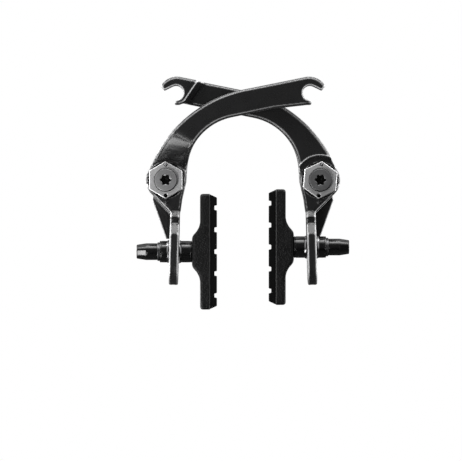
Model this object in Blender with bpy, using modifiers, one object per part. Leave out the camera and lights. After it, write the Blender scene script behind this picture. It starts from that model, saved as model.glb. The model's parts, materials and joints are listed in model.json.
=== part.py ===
"""U-brake caliper: two crossing arms, their pivots, springs and brake pads.

The frame stands midway between the two pivot axes, on the mounting plane at the rear of the hubs.
+Z points up to the cable hooks, -Y forward to the viewer and +X to the viewer's right. Each arm is
drawn in its own coordinates: u runs inward from its pivot, z up and d forward from the mounting
plane. The left arm crosses in front of the right one.
"""
import math

import bmesh
import bpy
from mathutils import Matrix, Vector

# Driving dimensions, in metres

PIVOT_SPACING = 0.0800
GAP = 0.0003
RUNNING_GAP = 0.0004
# How far a cutting tool runs past the face that it cuts
PAST = 0.0050

# Pivot stack, along each pivot axis
POST_RADIUS = 0.0045
BUSHING_WALL = 0.0010
SPRING_WIRE = 0.0015
SPRING_ROOM = 0.00055
SPRING_LEG_OFFSET = 0.00125
SPRING_LEG_DEPTH = 0.0031
HUB_WALL = 0.0013
HUB_DEPTH = 0.0143
SEAL_DEPTH = 0.0012
SEAL_WIDTH = 0.0020
CAVITY_FLOOR = 0.0069
HEX_ACROSS_FLATS = 0.0170
HEX_THICKNESS = 0.0026
HEX_REGISTER = 0.0018
HEX_EDGE = 0.0003
BOLT_RADIUS = 0.0030
BOLT_HEAD_RADIUS = 0.0061
BOLT_HEAD_HEIGHT = 0.0023
BOLT_LENGTH = 0.0160
BOLT_EDGE = 0.0004
SOCKET_RADIUS = 0.0024
SOCKET_LOBE = 0.0004
SOCKET_DEPTH = 0.0016

# Arch of the arm, in the arm's own u and z
ARM_THICKNESS = 0.0078
ARM_CHAMFER = 0.0009
BAR_ANGLE = 11.45
OUTER_RADIUS = 0.0673
OUTER_REACH = 0.01335
OUTER_DROP = 0.0193
INNER_SHARE = 0.4339
INNER_REACH = 0.0108
ARCH_SHARE = 0.2229
SPOT_DEPTH = 0.0015
SPOT_MARGIN = 0.0014
WIDE_SPOT_MARGIN = 0.0030
RAMP_START = 0.0080
RAMP_LENGTH = 0.0150

# Cable hook at the end of the arm
HOOK_INSET = 0.00545
THROAT_RADIUS = 0.0038
THROAT_DROP = 0.0022
BEAK_LENGTH = 0.0080
BEAK_RISE = 0.0037
BEAK_THICKNESS = 0.0031
NUB_THICKNESS = 0.0023
STEP_OUTER_CLEARANCE = 0.0102
STEP_INNER_CLEARANCE = 0.0043
STEP_WIDTH = 0.0034

# Web and slotted plate below the hub
WEB_BOTTOM = 0.0172
WEB_CHAMFER = 0.0008
PLATE_THICKNESS = 0.0048
PLATE_OFFSET = 0.0042
PLATE_LEAN = 1.5
PLATE_HALF_WIDTH = 0.0093
PLATE_LENGTH = 0.0544
PLATE_EDGE = 0.0006
STUD_DEPTH = 0.0100
SLOT_LENGTH = 0.0151
SLOT_FLOOR = 0.0071
RIB_THICKNESS = 0.0033
RIB_START = 0.0005
BUMP_RADIUS = 0.0008
BUMP_HEIGHT = 0.0009
BUMP_PLACE = (0.0003, -0.0112)

# Pad clamp, along the stud from the middle of the slotted plate
STUD_RADIUS = 0.0030
SLOT_CLEARANCE = 0.00035
BALL_RADIUS = 0.0067
BALL_WASHER_RADIUS = 0.0060
BALL_WASHER_HOLE = 0.0039
CUP_RADIUS = 0.0056
INNER_CUP_END = 0.0090
OUTER_CUP_END = 0.0073
FLAT_WASHER_RADIUS = 0.0048
FLAT_WASHER_THICKNESS = 0.0010
NUT_LENGTH = 0.0106
NUT_RADIUS = 0.00435
NUT_HEX_LENGTH = 0.0050
NUT_END_RADIUS = 0.0040
NUT_CAP = 0.0026
TURNED_EDGE = 0.0004
DOME_STEPS = 3

# Brake pad
PAD_LENGTH = 0.0600
CARRIER_WIDTH = 0.0125
CARRIER_THICKNESS = 0.0094
CARRIER_EDGE = 0.0012
BOSS_HEIGHT = 0.0042
BOSS_HALF_LENGTH = 0.0078
BOSS_FOOT = 0.0074
RUBBER_WIDTH = 0.0112
RUBBER_THICKNESS = 0.0032
RUBBER_CHAMFER = 0.0016
NOTCH_SHARE = 0.19
NOTCH_HEIGHT = 0.0028
NOTCH_DEPTH = 0.0013
NOTCH_COUNT = 5
INSERT_LENGTH = 0.0240
INSERT_WIDTH = 0.0086
INSERT_THICKNESS = 0.0015
STUD_HEAD_RADIUS = 0.0040
STUD_HEAD_THICKNESS = 0.0009

# What differs between the two sides: how far the stud sits below the top of its slot, and so on
SIDES = {
    "left": {"inward": 1, "below_slot_top": 0.0049, "hex_turn": 0.0, "crosses_in_front": True},
    "right": {"inward": -1, "below_slot_top": 0.0025, "hex_turn": 5.5, "crosses_in_front": False},
}

# Sizes that follow from the ones above
BUSHING_BORE = POST_RADIUS + 0.00005
BUSHING_RADIUS = BUSHING_BORE + BUSHING_WALL
COIL_RADIUS = BUSHING_RADIUS + SPRING_ROOM + SPRING_WIRE / 2
LEG_CIRCLE = COIL_RADIUS + SPRING_LEG_OFFSET
CAVITY_RADIUS = LEG_CIRCLE + SPRING_WIRE / 2 + GAP
HUB_RADIUS = CAVITY_RADIUS + HUB_WALL
HUB_BORE = BUSHING_RADIUS + GAP
LEG_HOLE_RADIUS = SPRING_WIRE / 2 + GAP
HEX_CORNER_RADIUS = HEX_ACROSS_FLATS / math.sqrt(3)
HEX_BACK = HUB_DEPTH + GAP
HEX_FRONT = HEX_BACK + HEX_THICKNESS
BOLT_HOLE_RADIUS = BOLT_RADIUS + GAP
BOLT_SEAT = HEX_FRONT + GAP
REAR_PLATE_FRONT = HUB_DEPTH + SPOT_DEPTH
FRONT_PLATE_BACK = REAR_PLATE_FRONT + RUNNING_GAP
FRONT_PLATE_FRONT = FRONT_PLATE_BACK + ARM_THICKNESS
BAR_SLOPE = math.tan(math.radians(BAR_ANGLE))
HOOK_REACH = PIVOT_SPACING - HOOK_INSET
OUTER_CENTRE = (OUTER_RADIUS - OUTER_REACH, -OUTER_DROP)
INNER_RADIUS = OUTER_RADIUS * INNER_SHARE
ARCH_WIDTH = OUTER_RADIUS * ARCH_SHARE
INNER_CENTRE = (INNER_RADIUS + INNER_REACH, OUTER_RADIUS - OUTER_DROP - ARCH_WIDTH - INNER_RADIUS)
PLATE_FACE = PLATE_THICKNESS / 2
SLOT_BOTTOM = PLATE_LENGTH - SLOT_FLOOR
SLOT_TOP = SLOT_BOTTOM - SLOT_LENGTH
SLOT_MIDDLE = (SLOT_TOP + SLOT_BOTTOM) / 2
LEG_HOLE_BOTTOM = CAVITY_FLOOR - SPRING_LEG_DEPTH
NOTCH_PITCH = PAD_LENGTH * NOTCH_SHARE
SEAT = PLATE_FACE + GAP
SOCKET_BALL_RADIUS = BALL_RADIUS + GAP
BOSS_FACE = INNER_CUP_END + GAP
CARRIER_BACK = BOSS_FACE + BOSS_HEIGHT
CARRIER_FACE = BOSS_FACE + CARRIER_THICKNESS
STUD_HEAD_BACK = CARRIER_FACE - GAP / 2 - STUD_HEAD_THICKNESS
INSERT_FRONT = STUD_HEAD_BACK - GAP
INSERT_BACK = INSERT_FRONT - INSERT_THICKNESS
RUBBER_BACK = CARRIER_FACE + GAP
RUBBER_FACE = RUBBER_BACK + RUBBER_THICKNESS
WASHER_BACK = OUTER_CUP_END + GAP
NUT_BACK = WASHER_BACK + FLAT_WASHER_THICKNESS + GAP
NUT_END = NUT_BACK + NUT_LENGTH
STUD_HOLE_RADIUS = STUD_RADIUS + GAP
STUD_END = NUT_END - NUT_CAP - GAP


# Scene, collections and materials

for old in list(bpy.data.objects):
    bpy.data.objects.remove(old, do_unlink=True)


def new_collection(name):
    """A collection linked to the scene."""
    collection = bpy.data.collections.new(name)
    bpy.context.scene.collection.children.link(collection)
    return collection


PARTS = new_collection("u_brake")
CUTTERS = new_collection("cutters")


def new_material(name, colour, roughness, metallic):
    """A plain Principled material."""
    made = bpy.data.materials.new(name)
    made.use_nodes = True
    shader = made.node_tree.nodes["Principled BSDF"]
    shader.inputs["Base Color"].default_value = (*colour, 1.0)
    shader.inputs["Roughness"].default_value = roughness
    shader.inputs["Metallic"].default_value = metallic
    return made


MATERIALS = {
    "black_arm": new_material("black_arm", (0.012, 0.012, 0.013), 0.32, 0.9),
    "bright_steel": new_material("bright_steel", (0.52, 0.52, 0.52), 0.35, 1.0),
    "dark_steel": new_material("dark_steel", (0.20, 0.20, 0.20), 0.38, 1.0),
    "spring_steel": new_material("spring_steel", (0.45, 0.45, 0.46), 0.3, 1.0),
    "bronze": new_material("bronze", (0.42, 0.27, 0.12), 0.4, 1.0),
    "black_hardware": new_material("black_hardware", (0.02, 0.02, 0.021), 0.4, 0.8),
    "seal_rubber": new_material("seal_rubber", (0.03, 0.03, 0.03), 0.7, 0.0),
    "carrier_rubber": new_material("carrier_rubber", (0.022, 0.022, 0.023), 0.6, 0.0),
    "friction_rubber": new_material("friction_rubber", (0.012, 0.012, 0.012), 0.75, 0.0),
}


# Mesh helpers

def arc(centre, radius, start, end, steps):
    """Points along an arc, its angles in degrees and both ends included."""
    points = []
    for i in range(steps + 1):
        angle = math.radians(start + (end - start) * i / steps)
        points.append((centre[0] + radius * math.cos(angle), centre[1] + radius * math.sin(angle)))
    return points


def mirrored(outline, inward):
    """An outline in u and z, turned to the side that it belongs to."""
    return [(inward * u, z) for u, z in outline]


def baked(source, name, placement=None, flat_faces=False):
    """The evaluated mesh of an object as a closed mesh object, which takes the object's place."""
    bpy.context.view_layer.update()
    evaluated = source.evaluated_get(bpy.context.evaluated_depsgraph_get())
    mesh = bpy.data.meshes.new_from_object(evaluated)
    bpy.data.objects.remove(source, do_unlink=True)
    if placement is not None:
        mesh.transform(placement)
    bm = bmesh.new()
    bm.from_mesh(mesh)
    bmesh.ops.remove_doubles(bm, verts=bm.verts, dist=0.000001)
    if flat_faces:
        bmesh.ops.dissolve_limit(bm, angle_limit=math.radians(0.2), verts=bm.verts, edges=bm.edges)
    bmesh.ops.recalc_face_normals(bm, faces=bm.faces)
    bm.to_mesh(mesh)
    bm.free()
    mesh.name = name
    mesh.shade_smooth()
    mesh.set_sharp_from_angle(angle=math.radians(35))
    made = bpy.data.objects.new(name, mesh)
    PARTS.objects.link(made)
    return made


# The outline of a forward prism lies in u and z, and it is filled along d
FORWARD = Matrix(((1, 0, 0, 0), (0, 0, -1, 0), (0, 1, 0, 0), (0, 0, 0, 1)))
# The outline of a sideways prism lies in d and z, and it is filled along -X
SIDEWAYS = Matrix(((0, 0, -1, 0), (-1, 0, 0, 0), (0, 1, 0, 0), (0, 0, 0, 1)))


def prism(name, outline, start, end, plane=FORWARD):
    """A flat outline, filled and extruded from one distance to another along its normal."""
    curve = bpy.data.curves.new(name, "CURVE")
    curve.dimensions = "2D"
    curve.fill_mode = "BOTH"
    curve.extrude = (end - start) / 2
    spline = curve.splines.new("POLY")
    spline.points.add(len(outline) - 1)
    for point, (across, up) in zip(spline.points, outline):
        point.co = (across, up, 0, 1)
    spline.use_cyclic_u = True
    flat = bpy.data.objects.new(name, curve)
    PARTS.objects.link(flat)
    return baked(flat, name, plane @ Matrix.Translation((0, 0, (start + end) / 2)), flat_faces=True)


def turned(name, profile, steps=28, ring=False):
    """A profile of radius and height, screwed round Z. A ring's profile is a closed loop."""
    count = len(profile)
    edges = [(i, i + 1) for i in range(count - 1)]
    if ring:
        edges.append((count - 1, 0))
    mesh = bpy.data.meshes.new(name)
    mesh.from_pydata([(radius, 0, height) for radius, height in profile], edges, [])
    outline = bpy.data.objects.new(name, mesh)
    PARTS.objects.link(outline)
    screw = outline.modifiers.new("Screw", "SCREW")
    screw.steps = steps
    screw.render_steps = steps
    screw.use_merge_vertices = True
    screw.merge_threshold = 0.000001
    return baked(outline, name)


def pipe_profile(outer, inner, top, bottom, chamfer=0.0):
    """The closed profile of a plain ring with chamfered outer edges."""
    if chamfer == 0.0:
        return [(outer, top), (outer, bottom), (inner, bottom), (inner, top)]
    return [
        (outer - chamfer, top),
        (outer, top - chamfer),
        (outer, bottom + chamfer),
        (outer - chamfer, bottom),
        (inner, bottom),
        (inner, top),
    ]


def rod(name, radius, start, end, direction, centre=(0, 0), steps=28):
    """A plain cylinder between two distances along a direction, centred at a u and z."""
    made = turned(name, [(0, end), (radius, end), (radius, start), (0, start)], steps)
    made.data.transform(direction)
    made.data.transform(Matrix.Translation((centre[0], 0, centre[1])))
    return made


# Local Z turned forward along a pivot, and inward along a stud
TO_FRONT = Matrix.Rotation(math.radians(90), 4, "X")


def to_inside(inward):
    """Local Z turned to point inward from an arm's side."""
    return Matrix.Rotation(math.radians(90) * inward, 4, "Y")


def add_bevel(target, width, segments=1, angle=40):
    """A bevel on the edges that are sharper than an angle."""
    bevel = target.modifiers.new("Bevel", "BEVEL")
    bevel.width = width
    bevel.segments = segments
    bevel.limit_method = "ANGLE"
    bevel.angle_limit = math.radians(angle)
    bevel.use_clamp_overlap = True


def combine(target, tool, operation):
    """A Boolean of a target with a tool, which moves to the cutters and stays hidden."""
    PARTS.objects.unlink(tool)
    CUTTERS.objects.link(tool)
    tool.hide_render = True
    tool.display_type = "WIRE"
    boolean = target.modifiers.new(tool.name, "BOOLEAN")
    boolean.operation = operation
    boolean.solver = "EXACT"
    boolean.object = tool
    if target.parent is None:
        tool.parent = target


def join(target, tool):
    """A union with a tool."""
    combine(target, tool, "UNION")


def cut(target, tool):
    """A cut by a tool."""
    combine(target, tool, "DIFFERENCE")


# Edges of the arch

def outer_bar(u):
    """The point on the straight part of the outer edge at a given u."""
    tangent = arc(OUTER_CENTRE, OUTER_RADIUS, 90 + BAR_ANGLE, 90, 1)[0]
    return (u, tangent[1] + (u - tangent[0]) * BAR_SLOPE)


def inner_bar(u):
    """The point on the straight part of the inner edge at a given u."""
    tangent = arc(INNER_CENTRE, INNER_RADIUS, 90 + BAR_ANGLE, 90, 1)[0]
    return (u, tangent[1] + (u - tangent[0]) * BAR_SLOPE)


def bar_meets_arc(bar, clearance):
    """Where a bar's edge lies a clearance beyond the other arm's outer arc."""
    centre = Vector((PIVOT_SPACING - OUTER_CENTRE[0], OUTER_CENTRE[1]))
    start = Vector(bar(0.0)) - centre
    along = Vector((1.0, BAR_SLOPE))
    reach = OUTER_RADIUS + clearance
    square = along.dot(along)
    half = start.dot(along)
    rest = start.dot(start) - reach * reach
    return bar((-half + math.sqrt(half * half - square * rest)) / square)


def throat_centre():
    """The middle of the hook's round throat."""
    middle = (outer_bar(HOOK_REACH)[1] + inner_bar(HOOK_REACH)[1]) / 2
    return (HOOK_REACH, middle - THROAT_DROP)


def beak_tip():
    """The outermost point of the hook's upper lip."""
    centre = throat_centre()
    return (centre[0] + BEAK_LENGTH, centre[1] + BEAK_RISE)


def smooth_ramp(value, start, length):
    """A value that eases from 0 to 1 over a length."""
    share = min(max((value - start) / length, 0.0), 1.0)
    return share * share * (3 - 2 * share)


# Stations of the arch's loft: outer point, inner point, front and back distance

def arch_stations(front_hub, front_arch, back_arch):
    """Stations from inside the hub to the end of both arcs, closest together near the hub."""
    count = 20
    stations = []
    for i in range(count + 1):
        share = (i / count) ** 1.25
        outside = arc(OUTER_CENTRE, OUTER_RADIUS, 161.5 - (71.5 - BAR_ANGLE) * share, 90, 1)[0]
        inside = arc(INNER_CENTRE, INNER_RADIUS, 180 - (90 - BAR_ANGLE) * share, 90, 1)[0]
        height = (outside[1] + inside[1]) / 2
        rise = smooth_ramp(height, RAMP_START, RAMP_LENGTH)
        front = front_hub + (front_arch - front_hub) * rise
        back = 2 * GAP + (back_arch - 2 * GAP) * rise
        stations.append((outside, inside, front, back))
    return stations


def hook_stations(front, back):
    """Stations of the hook's blank, which the throat is cut from."""
    centre = throat_centre()
    tip = beak_tip()
    low = centre[1] - THROAT_RADIUS - NUB_THICKNESS
    shoulder = outer_bar(centre[0] - BEAK_THICKNESS / 3)
    return [
        (outer_bar(centre[0] - THROAT_RADIUS * 1.6), (centre[0] - THROAT_RADIUS * 0.4, low), front, back),
        (shoulder, (centre[0], low), front, back),
        ((shoulder[0] + 0.0022, shoulder[1] - 0.0002), (centre[0] + 0.0005, low), front, back),
        ((tip[0] - 0.0045, tip[1] + 0.0039), (centre[0] + 0.0012, low + 0.0010), front, back),
        ((tip[0] - 0.0022, tip[1] + 0.0025), (centre[0] + 0.0019, low + 0.0020), front, back),
        (tip, (centre[0] + 0.0026, low + 0.0030), front, back),
    ]


def front_arm_stations():
    """The arm that steps forward above its hub and crosses in front."""
    stations = arch_stations(HUB_DEPTH - 2 * GAP, FRONT_PLATE_FRONT, FRONT_PLATE_BACK)
    bar_middle = HOOK_REACH * 0.75
    stations.append((outer_bar(bar_middle), inner_bar(bar_middle), FRONT_PLATE_FRONT, FRONT_PLATE_BACK))
    return stations + hook_stations(FRONT_PLATE_FRONT, FRONT_PLATE_BACK)


def rear_arm_stations():
    """The flat arm that passes behind and steps forward at its hook."""
    plate_back = REAR_PLATE_FRONT - ARM_THICKNESS
    stations = arch_stations(REAR_PLATE_FRONT, REAR_PLATE_FRONT, plate_back)
    foot_outer = bar_meets_arc(outer_bar, STEP_OUTER_CLEARANCE)
    foot_inner = bar_meets_arc(inner_bar, STEP_INNER_CLEARANCE)
    top_outer = outer_bar(foot_outer[0] + STEP_WIDTH)
    top_inner = inner_bar(foot_inner[0] + STEP_WIDTH)
    stations.append((foot_outer, foot_inner, REAR_PLATE_FRONT, plate_back))
    stations.append((top_outer, top_inner, FRONT_PLATE_FRONT, plate_back + STEP_WIDTH / 2))
    return stations + hook_stations(FRONT_PLATE_FRONT, FRONT_PLATE_BACK)


def loft(name, stations, inward):
    """A bar lofted through its stations, each a rectangle with chamfered corners."""
    bm = bmesh.new()
    rings = []
    for outside, inside, front, back in stations:
        across = Vector((inside[0] - outside[0], inside[1] - outside[1])).normalized() * ARM_CHAMFER
        corners = [
            (outside, 0, back + ARM_CHAMFER),
            (outside, 0, front - ARM_CHAMFER),
            (outside, 1, front),
            (inside, -1, front),
            (inside, 0, front - ARM_CHAMFER),
            (inside, 0, back + ARM_CHAMFER),
            (inside, -1, back),
            (outside, 1, back),
        ]
        ring = []
        for point, shift, depth in corners:
            u = point[0] + across.x * shift
            z = point[1] + across.y * shift
            ring.append(bm.verts.new((inward * u, -depth, z)))
        rings.append(ring)
    for first, second in zip(rings, rings[1:]):
        for i in range(8):
            j = (i + 1) % 8
            bm.faces.new((first[i], first[j], second[j], second[i]))
    bm.faces.new(rings[0])
    bm.faces.new(rings[-1])
    bmesh.ops.recalc_face_normals(bm, faces=bm.faces)
    mesh = bpy.data.meshes.new(name)
    bm.to_mesh(mesh)
    bm.free()
    mesh.shade_smooth()
    mesh.set_sharp_from_angle(angle=math.radians(30))
    made = bpy.data.objects.new(name, mesh)
    PARTS.objects.link(made)
    return made


# Arm

def body_outline():
    """Hub and web as one outline: round outside, a near straight inner side, a slanted web."""
    hub = arc((0, 0), HUB_RADIUS, 70, 218, 24)
    plate_outer = PLATE_OFFSET - PLATE_FACE
    plate_inner = PLATE_OFFSET + PLATE_FACE
    web = [
        (plate_outer + 0.0004, -WEB_BOTTOM),
        (plate_outer + 0.0014, -WEB_BOTTOM - 0.0020),
        (plate_inner - 0.0008, -WEB_BOTTOM - 0.0020),
        (plate_inner + 0.0009, -WEB_BOTTOM + 0.0010),
        (HUB_RADIUS - 0.0020, -0.0095),
        (HUB_RADIUS - 0.0009, -0.0049),
        (HUB_RADIUS + 0.0001, -0.0005),
        (HUB_RADIUS + 0.0003, 0.0030),
        (HUB_RADIUS - 0.0004, 0.0060),
    ]
    return hub + web


def plate_outline():
    """The slotted plate seen along X, in d and z: a loop with a stepped front shoulder."""
    middle = STUD_DEPTH
    front = middle + PLATE_HALF_WIDTH
    back = middle - PLATE_HALF_WIDTH
    low = -(PLATE_LENGTH - PLATE_HALF_WIDTH)
    loop = arc((middle, low), PLATE_HALF_WIDTH, 0, -180, 20)
    shoulder = [
        (back, -0.0210),
        (back + 0.0030, -0.0130),
        (HUB_DEPTH - 0.0020, -0.0130),
        (HUB_DEPTH + 0.0002, -WEB_BOTTOM + 0.0012),
        (HUB_DEPTH + 0.0021, -WEB_BOTTOM - 0.0014),
        (HUB_DEPTH + 0.0021, -WEB_BOTTOM - 0.0018),
        (HUB_DEPTH + 0.0009, -WEB_BOTTOM - 0.0030),
        (HUB_DEPTH + 0.0009, -WEB_BOTTOM - 0.0050),
        (HUB_DEPTH + 0.0019, -WEB_BOTTOM - 0.0060),
        (front, -WEB_BOTTOM - 0.0104),
    ]
    return loop + shoulder


def slot_outline():
    """The slot that the stud slides in, in d and z."""
    radius = STUD_RADIUS + SLOT_CLEARANCE
    upper = arc((STUD_DEPTH, -SLOT_TOP), radius, 0, 180, 12)
    return upper + arc((STUD_DEPTH, -SLOT_BOTTOM), radius, 180, 360, 12)


def rib_outline():
    """The rib behind the web, which tapers from the hub's outer side to the top of the slot."""
    foot = 0.0017 - SLOT_TOP
    plate_outer = PLATE_OFFSET - PLATE_FACE
    return [
        (-0.0060, -0.0060),
        (-0.0074, -0.0102),
        (plate_outer - 0.0019, foot),
        (plate_outer + 0.0012, foot),
        (0.0036, -0.0100),
    ]


def throat_outline():
    """The hook's throat: a round bottom between two straight flanks that open outward."""
    centre = throat_centre()
    tip = beak_tip()
    flank = math.degrees(math.atan2(BEAK_THICKNESS, BEAK_LENGTH)) + 4
    upper = arc(centre, THROAT_RADIUS, 90 - flank, 245, 16)
    lip = (tip[0] - 0.0018, tip[1] - 0.0025)
    beyond = (lip[0] + PAST, lip[1] - PAST * 0.45)
    nub = (centre[0] + 0.0008, centre[1] - THROAT_RADIUS - 0.0002)
    below = (centre[0] + 0.0008, centre[1] - THROAT_RADIUS - 3 * NUB_THICKNESS)
    return [beyond, lip] + upper + [nub, below, (beyond[0], below[1])]


def hub_bore_profile(past_front):
    """The stepped bore of the hub: spring cavity, bushing bore and seal seat."""
    return [
        (0, past_front),
        (CAVITY_RADIUS, past_front),
        (CAVITY_RADIUS, CAVITY_FLOOR),
        (HUB_BORE, CAVITY_FLOOR),
        (HUB_BORE, SEAL_DEPTH),
        (HUB_BORE + SEAL_WIDTH / 2, SEAL_DEPTH),
        (HUB_BORE + SEAL_WIDTH / 2, -PAST),
        (0, -PAST),
    ]


def spring_foot(inward):
    """The angle from the top at which the spring's rear leg enters the hub."""
    return inward * 152.0


def on_pivot_circle(radius, angle):
    """X and z at an angle, in degrees clockwise from the top as seen from the front."""
    return (radius * math.sin(math.radians(angle)), radius * math.cos(math.radians(angle)))


def lean_about_slot(tool, inward):
    """A tool turned by the plate's lean, about the stud's mean height, and set at the plate."""
    turn = Matrix.Rotation(math.radians(PLATE_LEAN) * inward, 4, "Y")
    up = Matrix.Translation((0, 0, SLOT_MIDDLE))
    down = Matrix.Translation((inward * PLATE_OFFSET, 0, -SLOT_MIDDLE))
    tool.data.transform(down @ turn @ up)
    return tool


def plate_centre(drop):
    """How far in the middle of the leaning plate lies at a drop below the pivot."""
    return PLATE_OFFSET + (SLOT_MIDDLE - drop) * math.tan(math.radians(PLATE_LEAN))


def add_arm(side):
    """One arm, joined from its loft, body, plate and rib, then cut."""
    inward = SIDES[side]["inward"]
    if SIDES[side]["crosses_in_front"]:
        stations = front_arm_stations()
        spot_radius = HEX_CORNER_RADIUS + SPOT_MARGIN
    else:
        stations = rear_arm_stations()
        spot_radius = HEX_CORNER_RADIUS + WIDE_SPOT_MARGIN
    arm = loft(f"{side}_arm", stations, inward)
    past_front = FRONT_PLATE_FRONT + PAST
    cut(arm, rod(f"{side}_spot_face", spot_radius, HUB_DEPTH - GAP, past_front, TO_FRONT, steps=64))
    cut(arm, prism(f"{side}_throat", mirrored(throat_outline(), inward), 0.0, past_front))

    body = prism(f"{side}_body", mirrored(body_outline(), inward), 0.0020, HUB_DEPTH)
    add_bevel(body, WEB_CHAMFER)
    join(arm, body)
    join(arm, rod(f"{side}_rear_boss", HUB_RADIUS - 0.0005, 0.0, 0.0050, TO_FRONT, steps=48))

    plate = prism(f"{side}_plate", plate_outline(), -PLATE_FACE, PLATE_FACE, SIDEWAYS)
    add_bevel(lean_about_slot(plate, inward), PLATE_EDGE)
    join(arm, plate)
    rib_end = RIB_START + RIB_THICKNESS
    join(arm, prism(f"{side}_rib", mirrored(rib_outline(), inward), RIB_START, rib_end))
    bump = (inward * BUMP_PLACE[0], BUMP_PLACE[1])
    bump_end = HUB_DEPTH + BUMP_HEIGHT
    join(arm, rod(f"{side}_bump", BUMP_RADIUS, HUB_DEPTH - BUMP_HEIGHT, bump_end, TO_FRONT, bump, 16))

    slot = prism(f"{side}_slot", slot_outline(), -2 * PLATE_THICKNESS, 2 * PLATE_THICKNESS, SIDEWAYS)
    cut(arm, lean_about_slot(slot, inward))
    bore = turned(f"{side}_hub_bore", hub_bore_profile(past_front), 48)
    bore.data.transform(TO_FRONT)
    cut(arm, bore)
    leg = on_pivot_circle(COIL_RADIUS, spring_foot(inward))
    past_floor = CAVITY_FLOOR + PAST
    cut(arm, rod(f"{side}_leg_hole", LEG_HOLE_RADIUS, LEG_HOLE_BOTTOM, past_floor, TO_FRONT, leg, 16))
    return arm


# Pivot pieces

def add_bushing(side):
    """The plain bushing between the hub and the frame's post."""
    profile = pipe_profile(BUSHING_RADIUS, BUSHING_BORE, HUB_DEPTH - GAP, SEAL_DEPTH + GAP)
    made = turned(f"{side}_pivot_bushing", profile, ring=True)
    made.data.transform(TO_FRONT)
    return made


def add_seal(side):
    """The dust seal in the rear of the hub."""
    outer = HUB_BORE + SEAL_WIDTH / 2 - GAP
    profile = pipe_profile(outer, BUSHING_BORE, SEAL_DEPTH - GAP / 2, 0.0)
    made = turned(f"{side}_dust_seal", profile, ring=True)
    made.data.transform(TO_FRONT)
    return made


def spring_points(inward, turn):
    """The spring's centre line: rear leg, coils and a front leg that steps out to the hex plate."""
    foot = spring_foot(inward)
    low = CAVITY_FLOOR + GAP + SPRING_WIRE / 2
    high = HUB_DEPTH - GAP - SPRING_WIRE / 2
    path = [(foot, COIL_RADIUS, LEG_HOLE_BOTTOM + GAP)]
    for share, depth in ((0.0, low - 0.0010), (0.25, low - 0.0005), (0.6, low - 0.0001)):
        path.append((foot + inward * share * 8, COIL_RADIUS, depth))
    coil_start = foot + inward * 8
    sweep = 720 - inward * (foot - turn) - 24
    steps = 40
    for i in range(steps + 1):
        share = i / steps
        path.append((coil_start + inward * sweep * share, COIL_RADIUS, low + (high - low) * share))
    coil_end = coil_start + inward * sweep
    path.append((coil_end + inward * 6, COIL_RADIUS + SPRING_LEG_OFFSET * 0.45, high))
    path.append((coil_end + inward * 11, COIL_RADIUS + SPRING_LEG_OFFSET * 0.85, high + 0.0001))
    end = coil_end + inward * 16
    for depth in (high + 0.0006, HEX_BACK, HEX_FRONT + GAP):
        path.append((end, LEG_CIRCLE, depth))
    points = []
    for angle, radius, depth in path:
        x, z = on_pivot_circle(radius, angle)
        points.append((x, -depth, z))
    return points


def add_spring(side):
    """The torsion spring, a round wire along its centre line."""
    points = spring_points(SIDES[side]["inward"], SIDES[side]["hex_turn"])
    curve = bpy.data.curves.new(f"{side}_return_spring", "CURVE")
    curve.dimensions = "3D"
    curve.bevel_depth = SPRING_WIRE / 2
    curve.bevel_resolution = 2
    curve.use_fill_caps = True
    spline = curve.splines.new("POLY")
    spline.points.add(len(points) - 1)
    for point, place in zip(spline.points, points):
        point.co = (*place, 1)
    wire = bpy.data.objects.new(f"{side}_return_spring", curve)
    PARTS.objects.link(wire)
    return baked(wire, f"{side}_return_spring")


def add_tension_hex(side):
    """The hexagonal plate with its register, its bolt hole and two holes for the spring's leg."""
    turn = SIDES[side]["hex_turn"]
    corners = [on_pivot_circle(HEX_CORNER_RADIUS, turn + 60 * i) for i in range(6)]
    made = prism(f"{side}_tension_hex", corners, HEX_BACK, HEX_FRONT)
    add_bevel(made, HEX_EDGE)
    start = HEX_BACK - HEX_REGISTER
    join(made, rod(f"{side}_register", BUSHING_BORE - GAP, start, HEX_BACK + GAP, TO_FRONT, steps=36))
    behind = start - PAST
    before = HEX_FRONT + PAST
    cut(made, rod(f"{side}_bolt_hole", BOLT_HOLE_RADIUS, behind, before, TO_FRONT))
    for number in range(2):
        place = on_pivot_circle(LEG_CIRCLE, turn + 180 * number)
        cut(made, rod(f"{side}_pin_hole_{number}", LEG_HOLE_RADIUS, behind, before, TO_FRONT, place, 16))
    return made


def add_bolt(side):
    """The pivot bolt: shank, wide flat head and a six-lobe socket."""
    top = BOLT_SEAT + BOLT_HEAD_HEIGHT
    end = BOLT_SEAT - BOLT_LENGTH
    profile = [
        (0, top),
        (BOLT_HEAD_RADIUS - BOLT_EDGE, top),
        (BOLT_HEAD_RADIUS, top - BOLT_EDGE),
        (BOLT_HEAD_RADIUS, BOLT_SEAT),
        (BOLT_RADIUS, BOLT_SEAT),
        (BOLT_RADIUS, end + BOLT_EDGE),
        (BOLT_RADIUS - BOLT_EDGE, end),
        (0, end),
    ]
    made = turned(f"{side}_pivot_bolt", profile, 36)
    made.data.transform(TO_FRONT)
    star = []
    for i in range(36):
        angle = math.radians(10 * i)
        radius = SOCKET_RADIUS + SOCKET_LOBE * math.cos(6 * angle)
        star.append((radius * math.cos(angle), radius * math.sin(angle)))
    cut(made, prism(f"{side}_socket", star, top - SOCKET_DEPTH, top + PAST))
    return made


# Pad clamp pieces, each turned about the stud with its heights measured inward from the plate

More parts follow.
